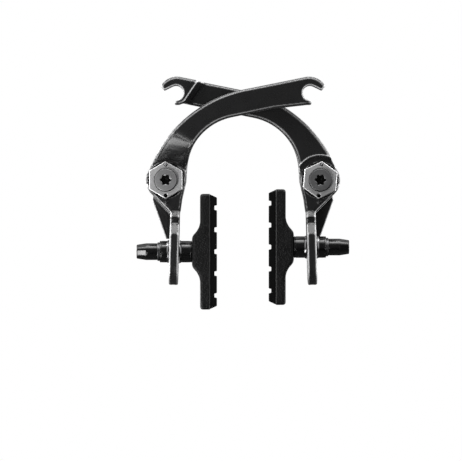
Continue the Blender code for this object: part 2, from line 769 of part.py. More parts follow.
def ball_washer_profile(facing):
    """A domed washer. Its dome is centred in the middle of the plate, so the clamp can tilt."""
    dome = []
    outer = math.acos(BALL_WASHER_RADIUS / BALL_RADIUS)
    inner = math.acos(BALL_WASHER_HOLE / BALL_RADIUS)
    for i in range(DOME_STEPS + 1):
        angle = inner + (outer - inner) * i / DOME_STEPS
        dome.append((BALL_RADIUS * math.cos(angle), facing * BALL_RADIUS * math.sin(angle)))
    return dome + [(BALL_WASHER_RADIUS, facing * SEAT), (BALL_WASHER_HOLE, facing * SEAT)]


def cup_washer_profile(facing, end):
    """A washer whose hollow face fits over the dome."""
    hollow = []
    outer = math.acos(CUP_RADIUS / SOCKET_BALL_RADIUS)
    inner = math.acos(STUD_HOLE_RADIUS / SOCKET_BALL_RADIUS)
    for i in range(DOME_STEPS + 1):
        angle = inner + (outer - inner) * i / DOME_STEPS
        height = SOCKET_BALL_RADIUS * math.sin(angle)
        hollow.append((SOCKET_BALL_RADIUS * math.cos(angle), facing * height))
    return hollow + [
        (CUP_RADIUS, facing * (end - TURNED_EDGE)),
        (CUP_RADIUS - TURNED_EDGE, facing * end),
        (STUD_HOLE_RADIUS, facing * end),
    ]


def add_nut(side):
    """The barrel nut: round body, a hexagonal tapered end and a blind bore."""
    hex_start = NUT_END - NUT_HEX_LENGTH
    profile = [
        (0, -NUT_BACK),
        (NUT_RADIUS - TURNED_EDGE, -NUT_BACK),
        (NUT_RADIUS, -NUT_BACK - TURNED_EDGE),
        (NUT_RADIUS, -hex_start),
        (NUT_RADIUS - TURNED_EDGE, -hex_start - TURNED_EDGE),
        (0, -hex_start - TURNED_EDGE),
    ]
    made = turned(f"{side}_pad_nut", profile)
    bm = bmesh.new()
    bmesh.ops.create_cone(
        bm,
        cap_ends=True,
        segments=6,
        radius1=NUT_END_RADIUS,
        radius2=NUT_RADIUS + 0.0001,
        depth=NUT_HEX_LENGTH + TURNED_EDGE,
        matrix=Matrix.Translation((0, 0, -(NUT_END + hex_start - TURNED_EDGE) / 2)),
    )
    mesh = bpy.data.meshes.new(f"{side}_nut_end")
    bm.to_mesh(mesh)
    bm.free()
    hexagon = bpy.data.objects.new(f"{side}_nut_end", mesh)
    PARTS.objects.link(hexagon)
    add_bevel(hexagon, 0.0003)
    join(made, hexagon)
    bottom = -STUD_END - GAP
    bore_profile = [(0, 0), (STUD_HOLE_RADIUS, 0), (STUD_HOLE_RADIUS, bottom), (0, bottom)]
    cut(made, turned(f"{side}_nut_bore", bore_profile, 32))
    return made


def add_stud(side):
    """The pad's threaded post with its flat head."""
    head_end = STUD_HEAD_BACK + STUD_HEAD_THICKNESS
    profile = [
        (0, head_end),
        (STUD_HEAD_RADIUS, head_end),
        (STUD_HEAD_RADIUS, STUD_HEAD_BACK),
        (STUD_RADIUS, STUD_HEAD_BACK),
        (STUD_RADIUS, -STUD_END + TURNED_EDGE),
        (STUD_RADIUS - TURNED_EDGE, -STUD_END),
        (0, -STUD_END),
    ]
    return turned(f"{side}_pad_stud", profile)


# Brake pad, drawn in the stud's frame with t inward and z up

def carrier_outline():
    """The pad holder seen from the front, with its boss. It runs past the seam, which is cut."""
    half = PAD_LENGTH / 2
    past_seam = CARRIER_FACE + 0.0020
    boss = [
        (BOSS_FACE, BOSS_HALF_LENGTH),
        (BOSS_FACE + BOSS_HEIGHT * 0.60, BOSS_HALF_LENGTH + BOSS_FOOT * 0.39),
        (BOSS_FACE + BOSS_HEIGHT * 0.88, BOSS_HALF_LENGTH + BOSS_FOOT * 0.69),
        (CARRIER_BACK, BOSS_HALF_LENGTH + BOSS_FOOT),
    ]
    upper = boss + [(CARRIER_BACK, half), (past_seam, half)]
    lower = [(t, -z) for t, z in reversed(upper)]
    return upper + lower


def rubber_outline():
    """The friction block seen from the front, with its notches and chamfered ends."""
    half = PAD_LENGTH / 2 - GAP
    points = [(RUBBER_BACK, -half), (RUBBER_FACE, -half + RUBBER_CHAMFER)]
    for i in range(NOTCH_COUNT):
        middle = (i - (NOTCH_COUNT - 1) / 2) * NOTCH_PITCH
        points.append((RUBBER_FACE, middle - NOTCH_HEIGHT / 2))
        points.append((RUBBER_FACE - NOTCH_DEPTH, middle - NOTCH_HEIGHT / 2 + NOTCH_DEPTH / 4))
        points.append((RUBBER_FACE - NOTCH_DEPTH, middle + NOTCH_HEIGHT / 2 - NOTCH_DEPTH / 4))
        points.append((RUBBER_FACE, middle + NOTCH_HEIGHT / 2))
    points += [(RUBBER_FACE, half - RUBBER_CHAMFER), (RUBBER_BACK, half)]
    return points


def box(name, low, high):
    """A box between two corners."""
    bm = bmesh.new()
    bmesh.ops.create_cube(bm, size=1.0)
    mesh = bpy.data.meshes.new(name)
    bm.to_mesh(mesh)
    bm.free()
    size = Vector(high) - Vector(low)
    middle = (Vector(high) + Vector(low)) / 2
    mesh.transform(Matrix.Translation(middle) @ Matrix.Diagonal((abs(size.x), size.y, size.z, 1)))
    made = bpy.data.objects.new(name, mesh)
    PARTS.objects.link(made)
    return made


def add_carrier(side):
    """The pad holder: rounded outside, flat at the seam, with a pocket and a bore for the stud."""
    inward = SIDES[side]["inward"]
    half_width = CARRIER_WIDTH / 2
    made = prism(f"{side}_pad_carrier", mirrored(carrier_outline(), inward), -half_width, half_width)
    add_bevel(made, CARRIER_EDGE, 2)
    past_face = inward * (CARRIER_FACE + PAST)
    low = (inward * CARRIER_FACE, -CARRIER_WIDTH, -PAD_LENGTH)
    cut(made, box(f"{side}_seam", low, (past_face, CARRIER_WIDTH, PAD_LENGTH)))
    pocket_width = INSERT_WIDTH / 2 + GAP
    pocket_length = INSERT_LENGTH / 2 + GAP
    low = (inward * (INSERT_BACK - GAP), -pocket_width, -pocket_length)
    cut(made, box(f"{side}_pocket", low, (past_face, pocket_width, pocket_length)))
    start = BOSS_FACE - PAST
    cut(made, rod(f"{side}_carrier_bore", STUD_HOLE_RADIUS, start, CARRIER_FACE, to_inside(inward)))
    return made


def add_insert(side):
    """The steel plate inside the pad holder."""
    inward = SIDES[side]["inward"]
    low = (inward * INSERT_BACK, -INSERT_WIDTH / 2, -INSERT_LENGTH / 2)
    high = (inward * INSERT_FRONT, INSERT_WIDTH / 2, INSERT_LENGTH / 2)
    made = box(f"{side}_pad_insert", low, high)
    cut(made, rod(f"{side}_insert_hole", STUD_HOLE_RADIUS, BOSS_FACE, RUBBER_FACE, to_inside(inward)))
    return made


def add_rubber(side):
    """The notched friction block."""
    inward = SIDES[side]["inward"]
    half_width = RUBBER_WIDTH / 2
    return prism(f"{side}_pad_rubber", mirrored(rubber_outline(), inward), -half_width, half_width)


# Assembly

def add_axis(name, location, rotation=(0, 0, 0)):
    """An empty on a joint's axis."""
    axis = bpy.data.objects.new(name, None)
    axis.location = location
    axis.rotation_euler = rotation
    axis.empty_display_size = 0.01
    PARTS.objects.link(axis)
    return axis


def finish(piece, material, parent):
    """Give a piece its material and hang it on its axis."""
    piece.data.materials.append(MATERIALS[material])
    piece.parent = parent


def add_side(side):
    """All the pieces of one side."""
    inward = SIDES[side]["inward"]
    drop = SLOT_TOP + SIDES[side]["below_slot_top"]
    pivot = add_axis(f"{side}_pivot_axis", (-inward * PIVOT_SPACING / 2, 0, 0))
    finish(add_arm(side), "black_arm", pivot)
    finish(add_bushing(side), "bronze", pivot)
    finish(add_seal(side), "seal_rubber", pivot)
    finish(add_spring(side), "spring_steel", pivot)
    finish(add_tension_hex(side), "bright_steel", pivot)
    finish(add_bolt(side), "dark_steel", pivot)

    centre = (inward * plate_centre(drop), -STUD_DEPTH, -drop)
    on_plate = add_axis(f"{side}_plate_axis", centre, (0, math.radians(PLATE_LEAN) * inward, 0))
    on_plate.parent = pivot
    stud = add_axis(f"{side}_stud_axis", centre)
    stud.parent = pivot
    washer_end = -WASHER_BACK - FLAT_WASHER_THICKNESS
    flat_profile = pipe_profile(FLAT_WASHER_RADIUS, STUD_HOLE_RADIUS, -WASHER_BACK, washer_end, 0.0002)
    washers = [
        ("inner_ball_washer", ball_washer_profile(1), on_plate),
        ("outer_ball_washer", ball_washer_profile(-1), on_plate),
        ("inner_cup_washer", cup_washer_profile(1, INNER_CUP_END), stud),
        ("outer_cup_washer", cup_washer_profile(-1, OUTER_CUP_END), stud),
        ("flat_washer", flat_profile, stud),
    ]
    for name, profile, parent in washers:
        washer = turned(f"{side}_{name}", profile, ring=True)
        washer.data.transform(to_inside(inward))
        finish(washer, "black_hardware", parent)
    for piece, material in ((add_nut(side), "black_hardware"), (add_stud(side), "dark_steel")):
        for tool in piece.children:
            tool.data.transform(to_inside(inward))
        piece.data.transform(to_inside(inward))
        finish(piece, material, stud)
    finish(add_insert(side), "dark_steel", stud)
    finish(add_carrier(side), "carrier_rubber", stud)
    finish(add_rubber(side), "friction_rubber", stud)


for side_name in SIDES:
    add_side(side_name)
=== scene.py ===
# %% [markdown]
# # A U-brake caliper, dressed for rendering
#
# A U-brake is a pair of crossing arms that hang on two posts of a bicycle frame. A wire pulls the
# hooks at the top together, the arms turn on their posts, and the pads below close on the rim.
#
# The lengths of the part are already settled in a CAD model. This script loads that model as a fixed
# frame, and then gives every piece the surface that its maker gave it: rounded edges, threads,
# grooves, a moulded skin and the right gloss. All lengths are in metres. +Z is up, -Y points to the
# viewer and +X to the viewer's right.

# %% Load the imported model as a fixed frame
import json
import math

import bmesh
import bpy
import numpy as np
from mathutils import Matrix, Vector


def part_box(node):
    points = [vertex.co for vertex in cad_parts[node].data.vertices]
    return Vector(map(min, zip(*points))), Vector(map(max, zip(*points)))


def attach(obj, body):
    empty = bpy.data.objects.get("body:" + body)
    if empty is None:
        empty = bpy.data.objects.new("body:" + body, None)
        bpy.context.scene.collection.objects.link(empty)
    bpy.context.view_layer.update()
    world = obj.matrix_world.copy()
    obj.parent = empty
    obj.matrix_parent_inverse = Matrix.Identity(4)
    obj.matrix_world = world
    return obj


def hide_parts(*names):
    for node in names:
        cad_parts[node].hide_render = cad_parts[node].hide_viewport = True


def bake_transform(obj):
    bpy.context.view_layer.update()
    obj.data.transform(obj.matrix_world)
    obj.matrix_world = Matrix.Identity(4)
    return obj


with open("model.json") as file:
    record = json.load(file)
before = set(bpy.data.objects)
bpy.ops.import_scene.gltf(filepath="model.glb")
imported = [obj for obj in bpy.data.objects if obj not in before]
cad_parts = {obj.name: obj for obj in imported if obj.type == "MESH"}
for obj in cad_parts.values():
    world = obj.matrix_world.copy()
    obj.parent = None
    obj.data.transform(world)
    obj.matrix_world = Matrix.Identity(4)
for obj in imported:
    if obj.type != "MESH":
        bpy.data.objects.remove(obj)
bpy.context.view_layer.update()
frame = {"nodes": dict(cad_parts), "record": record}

# %% [markdown]
# ## Camera
#
# The photograph is a flat, straight-on product shot. Its pivots are 80 mm apart and span 154 pixels,
# so one pixel is 0.5185 mm at the object. A long lens keeps the arms, which sit at different depths,
# at nearly the same scale, as the photograph does.

# %% Place the camera straight in front
PIXEL = 0.0005185
IMAGE_WIDTH = 462
SENSOR_WIDTH = 36.0
CAMERA_DISTANCE = 1.4
VIEW_MIDDLE = (-0.0062, -0.0261)
FOCUS_DEPTH = -0.0140

camera_data = bpy.data.cameras.new("camera")
camera_data.sensor_fit = "HORIZONTAL"
camera_data.sensor_width = SENSOR_WIDTH
camera_data.lens = SENSOR_WIDTH * CAMERA_DISTANCE / (PIXEL * IMAGE_WIDTH)
camera_data.clip_end = 20.0
camera = bpy.data.objects.new("camera", camera_data)
camera.location = (VIEW_MIDDLE[0], FOCUS_DEPTH - CAMERA_DISTANCE, VIEW_MIDDLE[1])
camera.rotation_euler = (math.radians(90), 0, 0)
bpy.context.scene.collection.objects.link(camera)
bpy.context.scene.camera = camera
bpy.context.scene.view_settings.view_transform = "Standard"
print("lens:", round(camera_data.lens, 1), "mm")

# %% [markdown]
# ## Studio
#
# A dark, glossy object is drawn by what it reflects, so the lamps matter more than its colour. A flat
# face that looks at the camera mirrors the dim studio ahead of it and stays dark. A large soft lamp
# and a bright strip overhead draw the light bands along the top of each round part. Strips above and
# at both sides, the side ones a little behind the brake, draw thin light lines on the rounded edges.
# A small card lies low in front, facing up, where the sloping face above the left hub mirrors it.
# The sky is white to the camera. In reflections it is white at the sides and above, and dim ahead,
# behind and below, as a studio is round a product. One bright sky could light the brake too, but
# then every edge would shine alike, and lamps can be set until each edge shows its own line.

# %% A short way to add shader nodes
def node_maker(tree):
    """A function that adds a node to a tree, with its settings, and its inputs by name or number."""

    def add(kind, inputs=None, **settings):
        made = tree.nodes.new(kind)
        for key, value in settings.items():
            setattr(made, key, value)
        for key, value in (inputs or {}).items():
            if isinstance(value, bpy.types.NodeSocket):
                tree.links.new(value, made.inputs[key])
            else:
                made.inputs[key].default_value = value
        return made
    return add


# %% A sky that is white where it is seen, and dim ahead, behind and below in reflections
SKY_LEVEL = 0.40
DIM_LEVEL = 0.12
BELOW_LEVEL = 0.03

world = bpy.data.worlds.new("sky")
world.use_nodes = True
world.node_tree.nodes.clear()
add = node_maker(world.node_tree)
direction = add("ShaderNodeSeparateXYZ", {0: add("ShaderNodeTexCoord").outputs["Generated"]})
ahead = add("ShaderNodeMath", {0: direction.outputs["Y"]}, operation="ABSOLUTE")
sides = add("ShaderNodeMapRange", {
    "Value": ahead.outputs[0], "From Min": 0.40, "From Max": 0.90, "To Min": 1.0, "To Max": DIM_LEVEL,
}, interpolation_type="SMOOTHSTEP")
above = add("ShaderNodeMapRange", {
    "Value": direction.outputs["Z"],
    "From Min": -0.35,
    "From Max": 0.10,
    "To Min": BELOW_LEVEL,
    "To Max": 1.0,
}, interpolation_type="SMOOTHSTEP")
mirrored = add("ShaderNodeMath", {0: sides.outputs[0], 1: above.outputs[0]}, operation="MULTIPLY")
rays = add("ShaderNodeLightPath").outputs
glossy = rays["Is Glossy Ray"]
bounced = add("ShaderNodeMath", {0: glossy, 1: rays["Is Transmission Ray"]}, operation="MAXIMUM")
level = add("ShaderNodeMapRange", {
    "Value": bounced.outputs[0], "To Min": SKY_LEVEL, "To Max": mirrored.outputs[0],
})
level = add("ShaderNodeMapRange", {
    "Value": rays["Is Camera Ray"], "To Min": level.outputs[0], "To Max": 1.0,
})
sky = add("ShaderNodeBackground", {"Color": (1, 1, 1, 1), "Strength": level.outputs[0]})
add("ShaderNodeOutputWorld", {"Surface": sky.outputs[0]})
bpy.context.scene.world = world
print("sky:", SKY_LEVEL, "as light,", DIM_LEVEL, "ahead and behind in reflections")


# %% Lamps: a large one and a strip overhead, strips above and at both sides, a low fill and a card
TARGET = (0.0, -0.014, 0.0)
CARD_PLACE = (-0.150, -0.145, -0.155)
ABOVE_CARD = (-0.150, -0.145, 0.0)


def add_panel(name, place, width, height, brightness, facing=TARGET):
    """A soft rectangular lamp that faces a point. Power = pi x area x brightness."""
    lamp = bpy.data.lights.new(name, "AREA")
    lamp.shape = "RECTANGLE"
    lamp.size = width
    lamp.size_y = height
    lamp.energy = math.pi * width * height * brightness
    made = bpy.data.objects.new(name, lamp)
    made.location = place
    made.rotation_euler = (Vector(facing) - Vector(place)).to_track_quat("-Z", "Y").to_euler()
    made.visible_camera = False
    bpy.context.scene.collection.objects.link(made)
    print(name, "gives", round(lamp.energy, 2), "W")


add_panel("overhead", (0.0, -0.42, 1.00), 1.10, 0.80, 2.2)
add_panel("overhead_strip", (0.0, -0.38, 0.98), 1.00, 0.14, 9.0)
add_panel("top_strip", (0.0, -0.02, 1.15), 1.00, 0.12, 9.0)
add_panel("left_strip", (-1.03, 0.32, 0.26), 0.52, 1.22, 11.5)
add_panel("right_strip", (1.03, 0.32, 0.26), 0.46, 1.22, 10.5)
add_panel("low_fill", (-0.40, -1.00, -0.30), 0.24, 0.14, 17.0)
add_panel("left_card", CARD_PLACE, 0.07, 0.19, 11.0, facing=ABOVE_CARD)

# %% A pale floor, low enough to stay out of the front view
FLOOR_LEVEL = -0.175
FLOOR_SIZE = 0.64
FLOOR_FADE = 0.20
FLOOR_TONE = 0.42
MIRRORED_TONE = 0.05
FLOOR_GLOW = 0.06


def add_floor():
    """A flat square of paper that lets the white sky through more and more towards its rim.

    Its faint glow, for the camera only, brings it near the sky's white, and it is dark in mirrors.
    """
    corner = FLOOR_SIZE / 2
    corners = [(-corner, -corner), (corner, -corner), (corner, corner), (-corner, corner)]
    mesh = bpy.data.meshes.new("floor")
    mesh.from_pydata([(x, y, FLOOR_LEVEL) for x, y in corners], [], [(0, 1, 2, 3)])
    floor = bpy.data.objects.new("floor", mesh)
    bpy.context.scene.collection.objects.link(floor)
    paper = bpy.data.materials.new("floor_paper")
    paper.use_nodes = True
    paper.node_tree.nodes.clear()
    add = node_maker(paper.node_tree)
    rays = add("ShaderNodeLightPath").outputs
    glow = add("ShaderNodeMath", {0: rays["Is Camera Ray"], 1: FLOOR_GLOW}, operation="MULTIPLY")
    emission = add("ShaderNodeEmission", {"Color": (1, 1, 1, 1), "Strength": glow.outputs[0]})
    tone = add("ShaderNodeMapRange", {
        "Value": rays["Is Glossy Ray"], "To Min": FLOOR_TONE, "To Max": MIRRORED_TONE,
    })
    matte = add("ShaderNodeBsdfDiffuse", {"Color": tone.outputs[0]})
    both = add("ShaderNodeAddShader", {0: matte.outputs[0], 1: emission.outputs[0]})
    place = add("ShaderNodeTexCoord").outputs["Object"]
    reach = add("ShaderNodeVectorMath", {0: place}, operation="LENGTH").outputs["Value"]
    fade = add("ShaderNodeMapRange", {
        "Value": reach, "From Min": FLOOR_FADE, "From Max": FLOOR_SIZE / 2,
    }, interpolation_type="SMOOTHSTEP")
    clear = add("ShaderNodeBsdfTransparent")
    sheet = add("ShaderNodeMixShader", {0: fade.outputs[0], 1: both.outputs[0], 2: clear.outputs[0]})
    add("ShaderNodeOutputMaterial", {"Surface": sheet.outputs[0]})
    mesh.materials.append(paper)
    print("floor:", FLOOR_SIZE, "m wide, at z =", FLOOR_LEVEL)


add_floor()

# %% [markdown]
# ## Surface tools
#
# Almost every small piece of a brake is turned on a lathe, drawn as wire or rolled as a thread. Each
# of those is a sheet of points that depends on two numbers, such as the angle round an axis and the
# distance along a profile. numpy works out the whole sheet at once, and one function below makes it
# a closed mesh. A Screw modifier could turn a profile as well, but a sheet of points can also carry
# a thread, a socket or flats, because its radius may change with the angle.

# %% A grid of points as a closed skin
MERGE = 1e-7
SHARP_ANGLE = 50


def skin(name, points, wrap_rows=False):
    """Quads between neighbours in a grid of points. Columns always close into a loop, and rows may.

    Points (i, j), (i+1, j), (i+1, j+1) and (i, j+1) make one face. A row whose points all lie
    together is a pole, and merging makes its faces triangles.
    """
    rows, columns = points.shape[:2]
    i, j = np.meshgrid(np.arange(rows if wrap_rows else rows - 1), np.arange(columns), indexing="ij")
    down = (i + 1) % rows
    right = (j + 1) % columns
    corners = (i * columns + j, down * columns + j, down * columns + right, i * columns + right)
    faces = np.stack(corners, axis=-1).reshape(-1, 4)
    mesh = bpy.data.meshes.new(name)
    mesh.from_pydata(points.reshape(-1, 3), [], faces)
    return finished_mesh(name, mesh)


def finished_mesh(name, mesh, flatten=None):
    """Merge a mesh's doubles, make its flat areas whole faces if asked, and turn its faces out."""
    bm = bmesh.new()
    bm.from_mesh(mesh)
    bmesh.ops.remove_doubles(bm, verts=bm.verts, dist=MERGE)
    if flatten is not None:
        bmesh.ops.dissolve_limit(bm, angle_limit=math.radians(flatten), verts=bm.verts, edges=bm.edges)
    bmesh.ops.recalc_face_normals(bm, faces=bm.faces)
    open_edges = sum(len(edge.link_faces) != 2 for edge in bm.edges)
    bm.to_mesh(mesh)
    bm.free()
    mesh.shade_smooth()
    mesh.set_sharp_from_angle(angle=math.radians(SHARP_ANGLE))
    made = bpy.data.objects.new(name, mesh)
    bpy.context.scene.collection.objects.link(made)
    print(name, "faces:", len(mesh.polygons), "open edges:", open_edges)
    return made


# %% Profiles with rounded corners
LONGEST_ROUND = 0.45


def softened(profile, radius, steps=4, ring=False):
    """A polyline whose corners are rounded: a parabola leaves each side a radius before the corner.

    Point at t = (1-t)^2 start + 2t(1-t) corner + t^2 end, with start and end on the two sides. The
    radius never takes more than LONGEST_ROUND of a side. Unless it is a ring, both ends stay put.
    """
    corner = np.asarray(profile, float)
    to_last = np.roll(corner, 1, axis=0) - corner
    to_next = np.roll(corner, -1, axis=0) - corner
    last_length = np.linalg.norm(to_last, axis=1, keepdims=True)
    next_length = np.linalg.norm(to_next, axis=1, keepdims=True)
    size = np.minimum(radius, LONGEST_ROUND * np.minimum(last_length, next_length))
    if not ring:
        size[[0, -1]] = 0
    start = (corner + to_last / last_length * size)[:, None]
    end = (corner + to_next / next_length * size)[:, None]
    t = np.linspace(0, 1, steps + 1)[None, :, None]
    curve = (1 - t) ** 2 * start + 2 * t * (1 - t) * corner[:, None] + t ** 2 * end
    return curve.reshape(-1, 2)


# %% Where an axis stands
PIVOT = 0.0400
STUD_END = 0.0166
STUD_DEPTH = 0.0100
INWARD = {"left": 1, "right": -1}


def on_pivot(side):
    """Places a turned shape on a pivot: its height runs forward, from the mounting plane."""
    def place(across, up, height):
        return np.stack([-INWARD[side] * PIVOT + across, -height, up], axis=-1)
    return place


def on_stud(side, lean=0.0):
    """Places a turned shape on a stud: its height runs inward from the middle of the slotted plate."""
    inward = INWARD[side]
    low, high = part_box(f"{side}_pad_stud")
    outer_end = low.x if inward > 0 else high.x
    centre_x = outer_end + inward * STUD_END
    centre_z = (low.z + high.z) / 2
    turn = math.radians(lean) * inward

    def place(across, up, height):
        x = inward * height
        along = x * math.cos(turn) + up * math.sin(turn)
        risen = up * math.cos(turn) - x * math.sin(turn)
        return np.stack([centre_x + along, across - STUD_DEPTH, centre_z + risen], axis=-1)
    return place


def turned(name, profile, place, steps=96, ring=False, shape=None):
    """A profile of radius and height, carried round its axis: x = r cos a, y = r sin a.

    A shape is a function of radius, angle and height that gives each point another radius.
    """
    outline = np.asarray(profile, float)
    angle = np.linspace(0, 2 * np.pi, steps, endpoint=False)[None, :]
    radius = np.broadcast_to(outline[:, :1], (len(outline), steps))
    height = np.broadcast_to(outline[:, 1:], (len(outline), steps))
    if shape is not None:
        radius = shape(radius, angle, height)
    points = place(radius * np.cos(angle), radius * np.sin(angle), height)
    return skin(name, points, wrap_rows=ring)


# %% [markdown]
# ## Finishes
#
# Each effect that several finishes share is a node group, made once: fine grain, turning marks, a
# moulded pebble skin, smudges in the gloss and a painted highlight along the edges. A group gives out
# only heights, masks and values. Each material keeps its own Principled shader and decides how much
# of each effect it takes. Pictures wrapped round the pieces would need seams and files. These patterns
# are worked out from Object coordinates instead, so they have neither and stay on their piece.

# %% A shader group with named sockets
SOCKETS = {"value": "NodeSocketFloat", "vector": "NodeSocketVector"}


def new_group(name, takes, gives):
    """An empty shader group. Takes and gives map a socket's name to its kind, or to a number."""
    tree = bpy.data.node_groups.new(name, "ShaderNodeTree")
    for socket, kind in takes.items():
        number = None if kind in SOCKETS else kind
        made = tree.interface.new_socket(
            name=socket, in_out="INPUT", socket_type=SOCKETS.get(kind, "NodeSocketFloat")
        )
        if number is not None:
            made.default_value = number
    for socket, kind in gives.items():
        tree.interface.new_socket(name=socket, in_out="OUTPUT", socket_type=SOCKETS[kind])
    add = node_maker(tree)
    return tree, add, add("NodeGroupInput").outputs, add("NodeGroupOutput").inputs


# %% Fine grain, as on bead-blasted and painted metal
grain, add, given, out = new_group(
    "fine_grain", {"Vector": "vector", "Size": 0.0003}, {"Height": "value", "Mask": "value"}
)
count = add("ShaderNodeMath", {0: 1.0, 1: given["Size"]}, operation="DIVIDE")
noise = add("ShaderNodeTexNoise", {"Vector": given["Vector"], "Scale": count.outputs[0], "Detail": 2.0})
patch = add("ShaderNodeMapRange", {"Value": noise.outputs["Fac"], "From Min": 0.35, "From Max": 0.65})
grain.links.new(noise.outputs["Fac"], out["Height"])
grain.links.new(patch.outputs[0], out["Mask"])

# %% Turning marks, rings that a lathe tool leaves round an axis
marks, add, given, out = new_group(
    "turning_marks",
    {"Vector": "vector", "Pitch": 0.0002, "Wobble": 0.35},
    {"Height": "value", "Mask": "value"},
)
distance = add("ShaderNodeVectorMath", {0: given["Vector"]}, operation="LENGTH")
turns = add("ShaderNodeMath", {0: distance.outputs["Value"], 1: given["Pitch"]}, operation="DIVIDE")
uneven = add("ShaderNodeTexNoise", {"Vector": given["Vector"], "Scale": 900.0, "Detail": 2.0})
drift = add("ShaderNodeMath", {0: uneven.outputs["Fac"], 1: given["Wobble"]}, operation="MULTIPLY")
phase = add("ShaderNodeMath", {0: turns.outputs[0], 1: drift.outputs[0]}, operation="ADD")
rings = add("ShaderNodeTexNoise", {
    "W": phase.outputs[0], "Scale": 1.0, "Detail": 3.0,
}, noise_dimensions="1D")
marks.links.new(rings.outputs["Fac"], out["Height"])
marks.links.new(rings.outputs["Fac"], out["Mask"])

# %% A pebble skin, as a textured mould leaves on rubber
pebble, add, given, out = new_group(
    "pebble_skin", {"Vector": "vector", "Size": 0.0005}, {"Height": "value", "Mask": "value"}
)
count = add("ShaderNodeMath", {0: 1.0, 1: given["Size"]}, operation="DIVIDE")
cells = add("ShaderNodeTexVoronoi", {
    "Vector": given["Vector"], "Scale": count.outputs[0], "Randomness": 0.9,
})
dome = add("ShaderNodeMapRange", {
    "Value": cells.outputs["Distance"], "From Max": 0.65, "To Min": 1.0, "To Max": 0.0,
})
pebble.links.new(dome.outputs[0], out["Height"])
pebble.links.new(dome.outputs[0], out["Mask"])

# %% Smudges, broad patches where the gloss changes a little
smudges, add, given, out = new_group(
    "smudges", {"Vector": "vector", "Size": 0.008, "Low": 0.3, "High": 0.4}, {"Roughness": "value"}
)
count = add("ShaderNodeMath", {0: 1.0, 1: given["Size"]}, operation="DIVIDE")
noise = add("ShaderNodeTexNoise", {"Vector": given["Vector"], "Scale": count.outputs[0], "Detail": 4.0})
spread = add("ShaderNodeMapRange", {
    "Value": noise.outputs["Fac"],
    "From Min": 0.3,
    "From Max": 0.7,
    "To Min": given["Low"],
    "To Max": given["High"],
})
smudges.links.new(spread.outputs[0], out["Roughness"])

# %% Painted highlight along edges: a share of each edge made light, broken up by noise
edge_light_group, add, given, out = new_group(
    "painted_edge_light", {"Vector": "vector", "Edge": 0.0, "Amount": 0.3}, {"Mask": "value"}
)
noise = add("ShaderNodeTexNoise", {"Vector": given["Vector"], "Scale": 1400.0, "Detail": 3.0})
broken = add("ShaderNodeMapRange", {
    "Value": noise.outputs["Fac"], "From Min": 0.25, "From Max": 0.50, "To Min": 0.65,
})
both = add("ShaderNodeMath", {0: given["Edge"], 1: broken.outputs[0]}, operation="MULTIPLY")
mask = add("ShaderNodeMath", {0: both.outputs[0], 1: given["Amount"]}, operation="MULTIPLY")
edge_light_group.links.new(mask.outputs[0], out["Mask"])
print("groups:", [tree.name for tree in bpy.data.node_groups])

# %% [markdown]
# ## One recipe for all the finishes
#
# Painted, plated and moulded surfaces are all built the same way here: a base colour that the
# pattern darkens a little, a light colour on the edges that is a painted highlight, a dark one in the
# hollows that is painted shade, a roughness that drifts in broad smudges, and a fine relief. What
# makes them look different is only the numbers, so they stand in one call for each finish.

# %% The recipe
def mixed(add, share, first, second):
    """A colour between two others. A Mix node keeps its colours in inputs 6 and 7."""
    return add("ShaderNodeMix", {0: share, 6: first, 7: second}, data_type="RGBA").outputs[2]


SURFACE_GROUPS = {"grain": grain, "marks": marks, "pebble": pebble}


